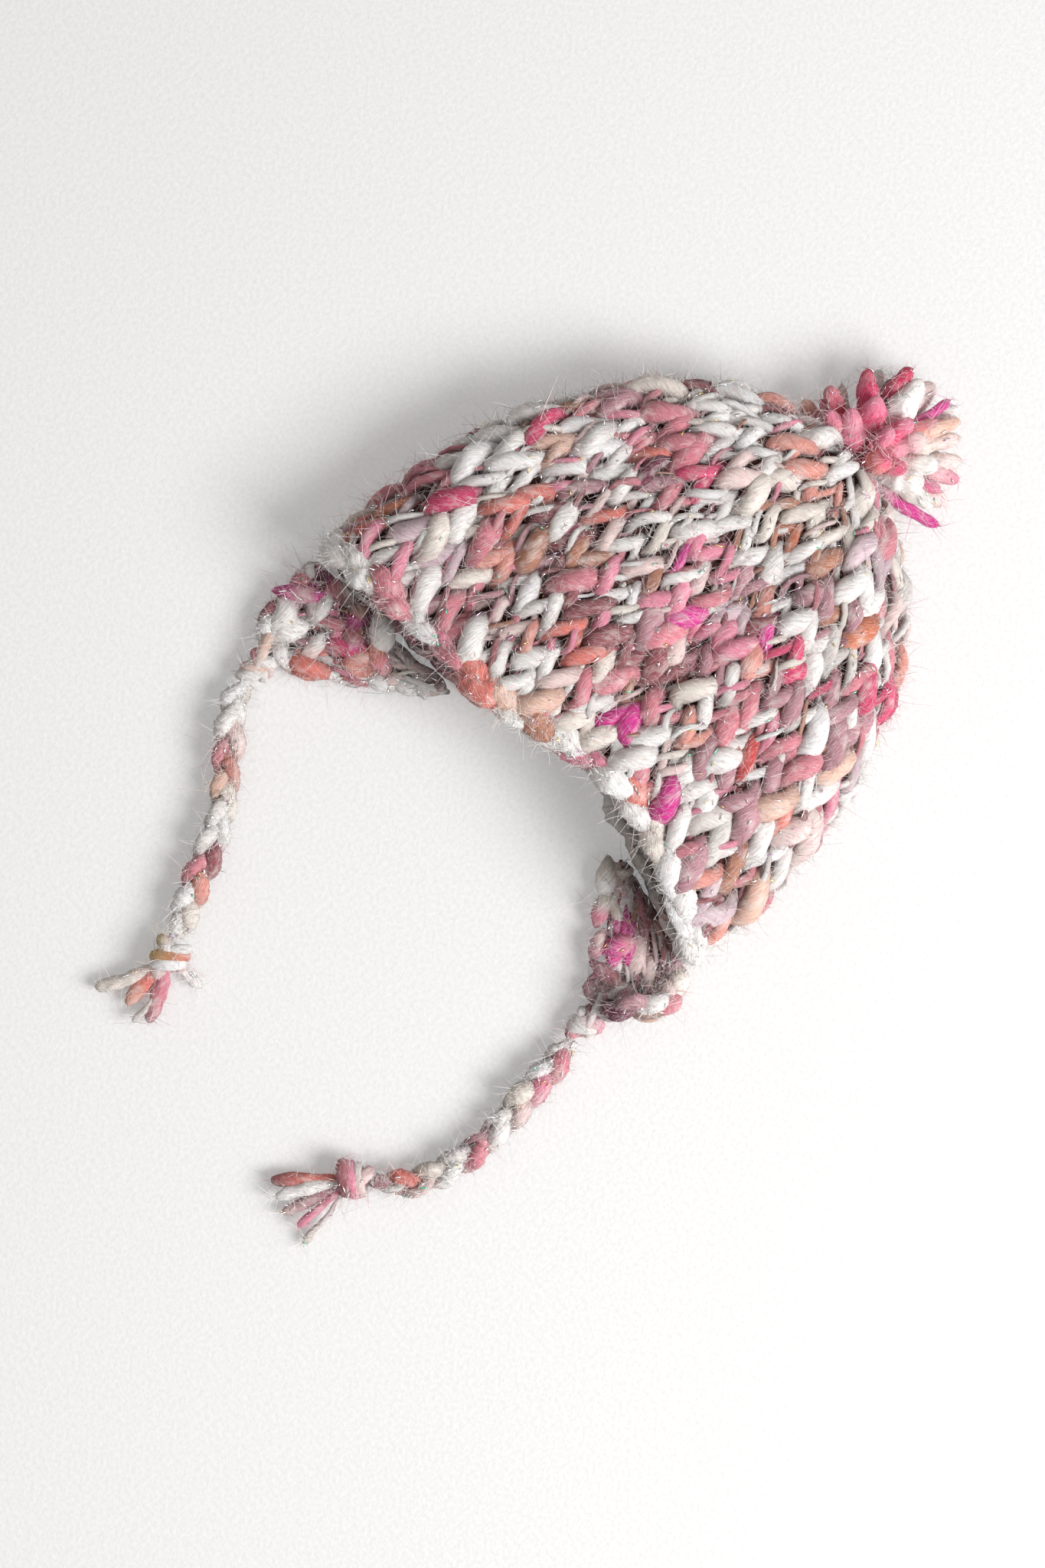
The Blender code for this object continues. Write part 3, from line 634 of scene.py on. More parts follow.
def stitch_row(
    place, count, low, height, rng, closed=True, per_leg=16, depth=WAVE_DEPTH, radius=LEG_RADIUS, jitter=1.6,
    start=0.0, dyes=None, chosen=FRONT_PATCHES, lean=LEG_LEAN, head=HEAD_RADIUS, reach=4.8 * MM,
):
    """Centres, radii, up directions and colours of one row of stitches laid on a surface."""
    legs = 2 * count
    position = np.arange(legs * per_leg + (0 if closed else 1)) / per_leg
    leg = np.minimum(position.astype(int), legs - 1)
    knot = np.round(position).astype(int)
    knot = knot % legs if closed else np.minimum(knot, legs)
    share = position - leg
    swell = np.sin(np.pi * share) ** 2
    at_leg = rng.uniform(-1, 1, (3, legs))[:, leg] * swell
    at_knot = rng.uniform(-1, 1, (3, legs + 1))[:, knot] * (1 - swell)
    wander = (at_leg + 0.6 * at_knot) * np.array([[1.0], [1.3], [1.0]]) * MM * jitter
    c = start + (position / 2 + lean * np.sin(2 * np.pi * position)) / count
    f = low + height * (0.5 + 0.5 * np.cos(np.pi * position))
    _, _, width, length = place(c, f)
    points, normals, _, _ = place(c + wander[0] / width, f + wander[1] / length)
    fit = np.minimum(1, width / count / STITCH_WIDTH)
    outward = -depth * np.cos(2 * np.pi * position) * (0.5 + 0.5 * fit) + wander[2]
    centres = points + normals * outward[:, None]
    sizes = leg_sizes(legs, rng)
    fattest = 2 ** rng.uniform(-0.5, 0.5, legs)
    plump = np.sin(np.pi * share ** fattest[leg]) ** 1.3
    radii = (head + (radius * sizes[leg] - head) * plump) * fit**0.7
    middle = np.arange(legs) * per_leg + per_leg // 2
    if dyes is None:
        dyes = leg_dyes(centres[middle], normals[middle, 2] > 0.2, rng, chosen, reach)
    colours = shade_along(position, dyes, rng, closed)
    # Painted shade: where the yarn thins to the heads and feet that pass behind the next row, its colour goes
    # most of the way to the brown mauve of the crevices.
    colours = colours + (MAUVE_SHADOW - colours) * (0.94 * (1 - plump[:, None]) ** 1.15)
    return centres[None], radii[None], normals[None], colours[None]


def soften(radii, rng, amount=0.05):
    """Small uneven swellings along each strand: random factors, blurred along it."""
    rough = rng.normal(0, 1, radii.shape)
    blurred = (rough + np.roll(rough, 1, 1) + np.roll(rough, 2, 1) + np.roll(rough, -1, 1)) / 2
    return radii * (1 + amount * blurred)


print("a stitch is", round(STITCH_WIDTH / MM, 1), "mm wide")
print("its yarn is about", round(2 * LEG_RADIUS / MM, 1), "mm thick")

# %% [markdown]
# ## Knitting the body
# Thirteen rounds: thirty-four stitches round, then decreases of eight stitches at a time to ten at the
# crown. The rounds are put into a few pieces only to keep each mesh light. All of them ride on the hat.

# %% Body rows
ROUND_COUNTS = [34] * 8 + [26] * 2 + [18] * 2 + [10]
PITCH = 1 / (len(ROUND_COUNTS) + 0.7)
body_rng = np.random.default_rng(20)
body_batches = []
for row, count in enumerate(ROUND_COUNTS):
    centres, radii, up, dye = stitch_row(on_body, count, row * PITCH, 1.7 * PITCH, body_rng)
    body_batches.append(batch(centres, soften(radii, body_rng), up, dye, 12, closed=True, deep=0.95))
for name, first, last in (("low", 0, 4), ("middle", 4, 8), ("crown", 8, 13)):
    add_piece(f"knit_rounds_{name}", body_batches[first:last], YARN, "hat", ["knit_body"])

# %% [markdown]
# ## Loose plies
# The roving is spun with a thin second ply that wanders off it, so thin pale strands cross the plump legs.
# It is the same snake as its row, thinner, a little further out and more jittery.

# %% Loose plies
PLY_DYES = numbers("white", "white", "white", "cream", "pale", "pink", "rose", "mauve", "tan", "dusk")


def loose_ply(place, count, low, height, rng, closed=True, depth=3.0 * MM):
    """One thin row: the stitch snake at a radius of about 1 mm, moved a third of a stitch on."""
    dyes = PLY_DYES[rng.integers(0, len(PLY_DYES), 2 * count)]
    centres, radii, up, dye = stitch_row(
        place, count, low, height, rng, closed=closed, per_leg=10, depth=depth, radius=1.3 * MM, jitter=2.6,
        start=0.34 / count if closed else 0.0, dyes=dyes, head=0.55 * MM,
    )
    return batch(centres, soften(radii, rng, 0.1), up, dye, 8, closed=closed, deep=0.8)


ply_rng = np.random.default_rng(27)
plies = [
    loose_ply(on_body, count, (row - 0.15) * PITCH + 0.01, 1.5 * PITCH, ply_rng)
    for row, count in enumerate(ROUND_COUNTS)
]
add_piece("loose_plies_on_body", plies, YARN, "hat", ["knit_body"])

# %% [markdown]
# ## The felt between the stitches
# The fibres that stick out of the roving mat together between the stitches, so no gap goes clean through the
# fabric. A thin closed sheet at the middle of the fabric stands for that mat. Its dark brown mauve is painted
# shade, for the shadow down in the gaps between the stitches. It is two copies of the surface grid, moved out
# and in along the normals, with a rim that joins them at every open edge.

# %% Felt sheets
def felt_sheet(name, grid, normals, body, stands_for, round_closed=False):
    """Closed sheet: grid + n x half the thickness, grid - n x half the thickness, and rims between them."""
    rows, columns = grid.shape[:2]
    layers = np.stack([grid + normals * FELT_THICKNESS / 2, grid - normals * FELT_THICKNESS / 2])
    number = np.arange(2 * rows * columns).reshape(2, rows, columns)
    ahead = np.roll(number, -1, axis=2)
    base = number
    if not round_closed:
        ahead, base = ahead[:, :, :-1], number[:, :, :-1]
    outer = np.stack([base[0, :-1], ahead[0, :-1], ahead[0, 1:], base[0, 1:]], axis=-1).reshape(-1, 4)
    inner = np.stack([base[1, :-1], base[1, 1:], ahead[1, 1:], ahead[1, :-1]], axis=-1).reshape(-1, 4)
    low = np.stack([base[0, 0], base[1, 0], ahead[1, 0], ahead[0, 0]], axis=-1)
    high = np.stack([base[0, -1], ahead[0, -1], ahead[1, -1], base[1, -1]], axis=-1)
    faces = [outer, inner, low, high]
    if not round_closed:
        left, right = number[:, :, 0], number[:, :, -1]
        faces.append(np.stack([left[0, :-1], left[0, 1:], left[1, 1:], left[1, :-1]], axis=-1))
        faces.append(np.stack([right[0, :-1], right[1, :-1], right[1, 1:], right[0, 1:]], axis=-1))
    faces = np.concatenate(faces)[:, ::-1]
    points = layers.reshape(-1, 3)
    down, over = np.meshgrid(np.arange(rows), np.arange(columns), indexing="ij")
    flat = np.tile(np.stack([over, down], axis=-1).reshape(-1, 2), (2, 1)) * 0.3
    # Painted shade: the whole sheet takes the dark brown mauve of the shadowed gaps between the stitches.
    shades = np.broadcast_to(SHADED_FELT_MAUVE, points.shape)
    sheet = (points, faces, np.zeros((0, 3), int), flat[faces].reshape(-1, 2), shades)
    return add_piece(name, [sheet], FELT, body, stands_for)


def felt_material(name):
    """Matted fibres in painted shade: the dark colour of the points in soft clouds, with fine crossing fibres
    raised by a bump.
    """
    material, tree, shader = new_material(name, 1.0, sheen=0.4, specular=0.05)
    place = tree.nodes.new("ShaderNodeTexCoord").outputs["Object"]
    clouds = noise(tree, place, 160, 3.0, 0.6)
    fibres = noise(tree, mapped(tree, place, (900, 260, 500), 0.6), 1.0, 3.0, 0.7)
    toned = mixed(tree, ramp(tree, clouds, 0.4, 0.65, 0.0, 0.7), dye_colour(tree), (0.13, 0.07, 0.06, 1))
    crossed = mixed(tree, 1.0, toned, ramp(tree, fibres, 0.3, 0.7, 0.6, 1.35), "MULTIPLY")
    link(tree, crossed, shader.inputs["Base Color"])
    raised(tree, shader, fibres, 0.9, 1.2 * MM)
    return material


FELT = felt_material("matted_fibres_in_shade")
# Dark brown mauve of the felt: painted shade of the gaps between the stitches.
SHADED_FELT_MAUVE = linear((74, 40, 38))
FELT_THICKNESS = 1.6 * MM
felt_sheet(
    "felt_in_body", BODY_GRID[6::3, :-1:4], BODY_NORMALS[6::3, :-1:4], "hat", ["knit_body"],
    round_closed=True,
)

# %% [markdown]
# ## Plaits
# The cast-off edge and both ties are three-strand plaits. Along a plait each strand swings from side to side
# as sin(p) and dips under its neighbours as sin(2 p), and the three strands are a third of a turn apart.
# Seen from above that gives the same row of Vs as a real plait, and the strands really pass over and under.

# %% Plait
def plait(
    path, up, period, across, depth, radius, rng, closed=False, chosen=None, ends=0.0, dyes=None, thin=0.6,
    spread=0.2, reach=9 * MM,
):
    """Three strands along a path: path + side x across sin(p) + up x depth sin(2p), p = 2 pi run / period.

    Its dyes go strand by strand through the list dyes, or else come from the patches chosen.
    """
    steps = np.linalg.norm(np.diff(path, axis=0, append=path[:1] if closed else path[-1:]), axis=1)
    run = np.concatenate([[0], np.cumsum(steps)])[:-1]
    total = steps.sum()
    periods = max(1, round(total / period)) if closed else total / period
    along = directions(path[None], closed)[0]
    side = unit(np.cross(along, up))
    over = np.cross(side, along)
    fade = np.clip(np.minimum(run, total - run) / ends, 0.25, 1) if ends else np.ones(len(run))
    found = []
    for strand in range(3):
        turn = 2 * np.pi * (run / total * periods + strand / 3)
        position = turn / np.pi + 0.25
        legs = int(np.ceil(position.max())) + 1
        leg = np.minimum(position.astype(int), legs - 1)
        wrap = 2 * periods if closed else legs
        sizes = np.clip(np.exp(rng.normal(0, spread, legs)), thin, 1.4)
        leg_at = (leg - leg.min()) % wrap if closed else leg
        swell = np.sin(np.pi * np.clip(position - leg, 0, 1)) ** 0.9
        shove = rng.uniform(-1, 1, (2, legs))[:, leg_at % legs] * swell * 0.8 * MM
        centres = (
            path
            + side * ((across * np.sin(turn) + shove[0]) * fade)[:, None]
            + over * ((depth * np.sin(2 * turn) + shove[1]) * fade)[:, None]
        )
        radii = radius * (0.62 + (sizes[leg_at % legs] - 0.62) * np.clip(swell, 0, 1))
        nearest = [np.argmin(np.abs(position - (number + 0.5))) for number in range(legs)]
        if dyes is None:
            leg_by_leg = leg_dyes(centres[nearest], np.ones(legs, bool), rng, chosen, reach)
        else:
            leg_by_leg = np.resize(np.roll(dyes, -2 * strand), legs)
        if closed:
            leg_by_leg[-1] = leg_by_leg[0]
        colours = shade_along(position, leg_by_leg, rng, False)
        # Painted shade: between its legs, where the strands pass under one another, each strand darkens a
        # little towards the brown mauve.
        colours = colours + (MAUVE_SHADOW - colours) * (0.3 * (1 - np.clip(swell, 0, 1)[:, None]) ** 1.5)
        skins = centres[None], soften(radii[None], rng), up[None], colours[None]
        found.append(batch(*skins, 12, closed, deep=0.15 if closed else 0.45))
    return found


# %% [markdown]
# ## The cast-off edge
# Casting off leaves a chain of plump stitches lying along the brim. It is a plait laid round the brim, with
# its flat side turned the same way as the fabric.

# %% Brim edging
EDGE_PATCHES = patches(
    "-54.6,-72,white -47,-70,pink -37,-72,rose -18.6,-70,peach -6.6,-63,tan 42,-65,white 37,-59,coral "
    "63.7,-60,white 78.5,-57,white 88.6,-57,cream 79,-70,white 95.4,-75.5,white -24.6,-76.7,coral "
    "-70,-74,rose -84,-78,white 8,-66,white 20,-64,pink 28,-62,white 52,-64,cream -28,-72,coral "
    "-12,-68,white -90,-80,white 70,-64,white"
)


def brim_path(count):
    """Ring in the middle of the edging: the fabric's middle at the brim, half the edging's width below it."""
    turn = np.linspace(-np.pi / 2, 3 * np.pi / 2, 1201)
    ring = body_rings(np.array([[BRIM_Y]]), turn[None], FABRIC / 2)[0]
    ring[:, 1] -= GAP + EDGING_WIDTH / 2 - 0.8 * MM
    ring = even_by_distance(ring[None], count + 1, 1)[0]
    return ring[:-1]


EDGING_POINTS = 900
edging_path = brim_path(EDGING_POINTS)
_, brim_normals, _, _ = on_body(np.arange(EDGING_POINTS) / EDGING_POINTS, np.zeros(EDGING_POINTS))
edging_rng = np.random.default_rng(31)
edging = plait(
    edging_path, brim_normals, 43 * MM, 2.3 * MM, 1.7 * MM, 3.5 * MM, edging_rng, closed=True,
    chosen=EDGE_PATCHES, spread=0.3,
)
add_piece("cast_off_chain", edging, YARN, "hat", ["brim_edging"])

# %% [markdown]
# ## The ear flaps
# Each flap is a small flat piece, knitted down from the brim in rows that get shorter towards the tip. The
# left one lies flat. The right one has rolled over at its outer edge, so its surface is flat and then bends
# up round a circle of radius r. At an angle a past the start of the bend, it has gone r sin(a) further
# across, and r (1 - cos(a)) up. On both, rows that face forwards and backwards take turns, which makes the
# bumpy look of garter stitch.

# %% Flap surfaces
LEFT_START, LEFT_END = np.array([-0.0965, -0.0895]), np.array([-0.031, -0.0830])
LEFT_TIP = (-0.0820, -0.1221)
RIGHT_MIDDLE = np.array([0.073, -0.08256])
RIGHT_LEAN = (-0.08703 + 0.07809) / 0.046
RIGHT_LENGTH = 0.0350


def flat_surface(grid):
    """A place function on a grid, with its normals and its real size across and along."""
    normals = unit(np.cross(np.gradient(grid, axis=1), np.gradient(grid, axis=0)))
    normals *= np.sign(normals[..., 2].mean())
    across = np.linalg.norm(np.diff(grid, axis=1), axis=-1).sum(axis=1)
    along = np.linalg.norm(np.diff(grid, axis=0), axis=-1).sum(axis=0)

    def place(c, f):
        """Place, normal, distance across and distance along at shares c across and f from root to tip."""
        held = np.clip(c, 0, 0.99999)
        width = np.interp(f, np.linspace(0, 1, len(across)), across)
        length = np.interp(held, np.linspace(0, 1, len(along)), along)
        return sample(grid, held, f), unit(sample(normals, held, f)), width, length

    print("a flap", round(across[0] / MM), "mm wide at the brim and", round(along.max() / MM), "mm long")
    return place, grid, normals


def left_flap_grid(rows=40, columns=60):
    """Between two edges from the brim to the tip: start + (tip - start) share^1.6, and share^0.75."""
    share = np.linspace(0, 1, rows)[:, None]
    across = np.linspace(0, 1, columns)[None, :, None]
    tip = np.array([LEFT_TIP[0], LEFT_TIP[1] + 0.0045])
    left = LEFT_START + (tip - [0.0085, 0] - LEFT_START) * share**1.6
    right = LEFT_END + (tip + [0.0085, 0] - LEFT_END) * share**0.75
    flat = left[:, None] + (right - left)[:, None] * across
    height = 0.0053 + 0.0006 * np.sin(7 * across[..., 0]) * np.sin(5 * share)
    return np.concatenate([flat, height[..., None]], axis=-1)


def right_flap_grid(rows=40, columns=60):
    """Flat from its inner edge, then bent up round a circle of 10 mm, more so half way down."""
    share = np.linspace(0, 1, rows)[:, None]
    across = np.linspace(0, 1, columns)[None]
    half, bend = 0.0045, 0.010
    distance = share * (RIGHT_LENGTH - half)
    inner = 0.048 + 0.027 * np.minimum(1, share / 0.62) ** 1.2 + half
    outer = 0.100 + 0.006 * np.sin(np.pi * np.minimum(1, share / 0.8)) - 0.005 * share**3 - bend - half
    lip = np.minimum(0.024, 0.72 * distance) * (1 - 0.55 * share**4)
    angle = np.arccos(1 - np.minimum(lip, 1.45 * bend) / bend)
    travelled = across * (outer - inner + bend * angle)
    turned = np.maximum(0, travelled - (outer - inner)) / bend
    x = inner + np.minimum(travelled, outer - inner) + bend * np.sin(turned)
    z = half + bend * (1 - np.cos(turned))
    y = RIGHT_MIDDLE[1] + RIGHT_LEAN * (x - RIGHT_MIDDLE[0]) * (1 - share) - distance + 0.0030 * (1 - share)
    return np.stack([x, y, z], axis=-1)


FLAP_SURFACES = {"left": flat_surface(left_flap_grid()), "right": flat_surface(right_flap_grid())}

# %% Flap stitches
LEFT_PATCHES = patches(
    "-84.6,-88,rose -89,-93,magenta -92,-100.7,rose -96,-106.7,magenta -77,-86.5,mauve -62,-87,white "
    "-71,-93,magenta -68,-103.7,hot -57.6,-96,salmon -47,-88,rose -41,-79.7,tan -32,-83.5,coral "
    "-36.6,-88.7,white -48.6,-92.5,pale -82,-95.5,white -84.6,-103.7,white -77,-103.7,white -86,-115,white "
    "-72,-110,coral -68,-116,coral -73,-118,white"
)
# The tan, mauve and plum patches are partly the yarn's dye and partly painted shade of the trough inside the
# rolled edge.
RIGHT_PATCHES = patches(
    "46.8,-72,cream 53.5,-75.5,cream 59,-81,pale 58,-84,cream 64,-90,cream 69,-87,white 75,-95,magenta "
    "75,-104,pink 78,-110.6,grey 82,-112,mauve 80.5,-81,tan 91,-85,mauve 87,-95,pale 92,-102.5,mauve "
    "94,-111,plum 102.8,-84.3,magenta 99.5,-101.8,white 103,-92,cream 100,-110,cream"
)


def flap_rows(place, counts, pitch, rng, chosen, radius):
    """Rows of stitches from the brim to the tip, every other one turned to the back."""
    found = []
    for row, count in enumerate(counts):
        side = 1 if row % 2 else -1
        strand = stitch_row(
            place, count, row * pitch, 1.75 * pitch, rng, closed=False, depth=side * 2.1 * MM, radius=radius,
            jitter=1.6, chosen=chosen, lean=0.30, head=2.3 * MM, reach=5 * MM,
        )
        found.append(batch(strand[0], soften(strand[1], rng), strand[2], strand[3], 12, deep=0.7))
    return found


def flap_edge(grid, rng, chosen, radius):
    """Plait along the flap's free edge: down one side, round the tip and up the other."""
    line = np.concatenate([grid[2:, 1], grid[-1, 2:-2:2], grid[:1:-1, -2]])
    line = even_by_distance(line[None], 260, 1)[0]
    normals = np.zeros_like(line)
    normals[:, 2] = 1
    return plait(
        line, normals, 27 * MM, 1.7 * MM, 1.4 * MM, radius, rng, chosen=chosen, spread=0.32, reach=5 * MM
    )


def flap_plies(place, counts, rng):
    """Loose plies over the flap's rows, each a fifth of the flap further down."""
    return [loose_ply(place, count, row * 0.2, 0.3, rng, False, 2.8 * MM) for row, count in enumerate(counts)]


FLAP_PITCH = 0.215
FLAP_YARN = {
    "left": (LEFT_PATCHES, (5, 4, 3, 2), (6, 5, 4, 3), 3.3 * MM, 2.6 * MM),
    "right": (RIGHT_PATCHES, (5, 5, 4, 3), (7, 6, 5, 4), 2.9 * MM, 2.5 * MM),
}
flap_rngs = {"left": np.random.default_rng(41), "right": np.random.default_rng(43)}
for side, (chosen, row_counts, ply_counts, row_radius, edge_radius) in FLAP_YARN.items():
    place, grid, _ = FLAP_SURFACES[side]
    batches = flap_rows(place, row_counts, FLAP_PITCH, flap_rngs[side], chosen, row_radius)
    batches += flap_edge(grid, flap_rngs[side], chosen, edge_radius)
    batches += flap_plies(place, ply_counts, flap_rngs[side])
    add_piece(f"{side}_flap_stitches", batches, YARN, f"{side}_flap", [f"{side}_ear_flap"])

# %% [markdown]
# ## Slubs on the flaps
# The yarn has a few short swellings, called slubs, that are much fatter than the rest. On the flaps they lie
# on top of the rows. Each line of a table gives one slub's middle, height, heading in degrees, length, radius
# and dyes, with the sizes in millimetres.

# %% Slubs
def slub(middle, height, heading, length, thickness, dyes, rng):
    """One fat short swelling of the roving: radius x sin(pi t)^0.8 along a line, with its ends bent down."""
    t = np.linspace(0, 1, 22)
    way = np.array([np.cos(np.radians(heading)), np.sin(np.radians(heading)), 0.0])
    centres = np.array([*middle, height]) * MM + way * (t[:, None] - 0.5) * length * MM
    centres[:, 2] -= (2 * t - 1) ** 2 * 3.0 * MM
    radii = (0.5 + (thickness - 0.5) * np.sin(np.pi * t) ** 0.8) * MM
    shades = shade_along(t * len(dyes) * 0.999, dyes, rng, False)
    up = np.broadcast_to([0.0, 0.0, 1.0], centres.shape)
    return batch(centres[None], soften(radii[None], rng), up[None], shades[None], 14)


SLUBS = {
    "left": """
-62.2 -86.5 9.5 -41 17 4.8 white,white
-68.0 -95.0 9.0 -44 19 3.3 magenta,dusk,magenta
-84.5 -110.5 8.5 60 15 4.2 white,white
-90.5 -99.0 9.5 40 22 3.4 magenta,mauve,magenta
-56.0 -93.5 8.5 -20 15 3.6 salmon,rose
-74.0 -108.0 8.5 -80 14 3.2 white,pale
""",
    "right": """
75.0 -96.0 9.0 66 14 3.8 magenta,pink
54.5 -84.0 6.5 -47 16 4.0 cream,white
61.5 -92.5 7.0 -58 13 3.4 cream,pink
70.0 -101.5 7.5 -62 12 3.0 pale,mauve
80.0 -106.0 9.0 10 15 3.2 mauve,dusk
90.0 -108.0 9.0 100 13 3.2 plum,mauve
""",
}
for side, table in SLUBS.items():
    found = []
    for line in table.strip().splitlines():
        *sizes, names = line.split()
        x, y, *others = (float(size) for size in sizes)
        found.append(slub((x, y), *others, numbers(*names.split(",")), flap_rngs[side]))
    add_piece(f"{side}_flap_slubs", found, YARN, f"{side}_flap")

# %% [markdown]
# ## The felt in the flaps
# The flaps have the same mat of fibres between their stitches as the body, in the same painted shade. It stops
# short of their edges, so that none of it shows past the yarn.

# %% Felt in the flaps
for side, inner in (("left", slice(3, -4)), ("right", slice(4, -3))):
    _, grid, normals = FLAP_SURFACES[side]
    felt_sheet(
        f"shaded_felt_in_{side}_flap", grid[:-2, inner], normals[:-2, inner], f"{side}_flap",
        [f"{side}_ear_flap"],
    )

# %% [markdown]
# ## Knots and windings
# A knot is mostly yarn going round: a coil that is a little wider than it is high and does not stay quite
# level. The same coil makes the knots on the ties, the winding round the pom pom's middle and the drawn-up
# last round.

# %% Coils
def coil(centre, axis, radii, turns, length, thickness, rng, dyes, tilt=0.15, points_per_turn=26):
    """Centre + axis x length (t - 1/2) + side x a cos(angle) + over x b sin(angle), with a wobble."""
    axis = unit(np.array(axis, float))
    helper = np.array([0.0, 0.0, 1.0]) if abs(axis[2]) < 0.9 else np.array([1.0, 0.0, 0.0])
    side = unit(np.cross(axis, helper))
    over = np.cross(side, axis)
    t = np.linspace(0, 1, int(points_per_turn * turns))
    angle = 2 * np.pi * turns * t + rng.uniform(0, 6)
    wobble = 1 + 0.07 * np.sin(1.7 * angle + rng.uniform(0, 6))
    shrink = 0.25 + 0.75 * np.clip(np.minimum(t, 1 - t) * 7, 0, 1) ** 0.7
    outward = side * (radii[0] * np.cos(angle))[:, None] + over * (radii[1] * np.sin(angle))[:, None]
    outward *= (wobble * shrink)[:, None]
    along = length * (t - 0.5) + tilt * radii[0] * np.cos(angle)
    centres = np.array(centre) + axis * along[:, None] + outward
    sizes = np.clip(np.exp(rng.normal(0, 0.2, 12)), 0.65, 1.3)
    closing = np.clip(np.minimum(t, 1 - t) * 16 + 0.35, 0, 1)
    radii_here = thickness * np.interp(t * 11, np.arange(12), sizes) * closing
    shades = shade_along(t * len(dyes) * 0.999, np.array(dyes), rng, False)
    return batch(centres[None], radii_here[None], unit(outward)[None] + 0 * centres[None], shades[None], 12)


knot_rng = np.random.default_rng(53)
BINDING = np.array([POMPOM_X, 0.0764, CROWN_Z])
add_piece(
    "drawn_up_last_round",
    [coil((POMPOM_X, 0.0692, CROWN_Z), (0, 1, 0), (5.2 * MM, 5.2 * MM), 2.6, 1.2 * MM, 1.6 * MM, knot_rng,
          numbers("dusk", "brown", "rose", "brown"))],
    YARN, "hat", ["crown_gather"],
)
add_piece(
    "winding_round_pompom",
    [coil(BINDING, (0, 1, 0), (2.7 * MM, 2.7 * MM), 4.2, 6.5 * MM, 1.7 * MM, knot_rng,
          numbers("dusk", "plum", "brown", "dusk", "rose", "plum"), tilt=0.3)],
    YARN, "pompom_neck", ["pompom_binding"],
)
anchor_middle = np.mean(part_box("pompom_anchor_knot"), axis=0)
add_piece(
    "knot_inside_crown",
    [coil(anchor_middle, (0.3, 1, 0.2), (2.0 * MM, 2.0 * MM), 3.2, 3.2 * MM, 1.5 * MM, knot_rng,
          numbers("white", "pale", "white"))],
    YARN, "hat", ["pompom_anchor_knot"],
)

# %% [markdown]
# ## The pom pom
# The pom pom is cut roving: each end is a fat soft plume, thin where it is bound and round at its tip. A
# plume runs from the binding to its tip on a slightly bent line. Its radius grows from a third to the full
# one over the first half, and ends in a quarter circle. The table gives each plume's tip, its height, its
# thickness and its dyes from root to tip, because no two are alike.

# %% Plumes
PLUME_POINTS = 30
PACKED_STRANDS = 16
ROOT_DISTANCE = 3.2 * MM
FLUFFED = 1.2


def plumes(roots, tips, bends, thicknesses, dye_rows, rng, neck=0.34):
    """Root + (tip - root) t + bend sin(pi t), with a radius that swells from the neck to a round end."""
    roots, tips, bends = (np.asarray(part, float) for part in (roots, tips, bends))
    thicknesses = np.asarray(thicknesses, float)
    lengths = np.linalg.norm(tips - roots, axis=1)
    cap = np.minimum(1.9 * thicknesses / lengths, 0.42)
    t = np.linspace(0, 1, PLUME_POINTS - 9)[None] * (1 - cap)[:, None]
    quarter = np.linspace(0, 0.97 * np.pi / 2, 10)[1:]
    t = np.concatenate([t, (1 - cap)[:, None] + cap[:, None] * np.sin(quarter)[None]], axis=1)
    swell = neck + (1 - neck) * np.sin(np.clip(t / 0.62, 0, 1) * np.pi / 2) ** 1.3
    closing = np.concatenate([np.ones(PLUME_POINTS - 9), np.cos(quarter)])[None]
    centres = roots[:, None] + (tips - roots)[:, None] * t[..., None]
    centres = centres + bends[:, None] * np.sin(np.pi * t)[..., None]
    waves = rng.uniform(0, 6, (len(t), 1))
    uneven = 1 + 0.09 * np.sin(9 * t + waves) + 0.05 * np.sin(23 * t + 2 * waves)
    radii = thicknesses[:, None] * swell * closing * uneven
    shades = np.empty((len(t), PLUME_POINTS, 3))
    for number, names in enumerate(dye_rows):
        colours = dye_of(*names)
        knots = np.linspace(0, 1, len(names))
        for band in range(3):
            shades[number, :, band] = np.interp(t[number], knots, colours[:, band])
    across = np.cross(unit(tips - roots), np.array([0.0, 0.0, 1.0]))
    upward = np.broadcast_to(np.cross(across, unit(tips - roots))[:, None], centres.shape)
    return centres, soften(radii, rng, 0.025), upward, shades


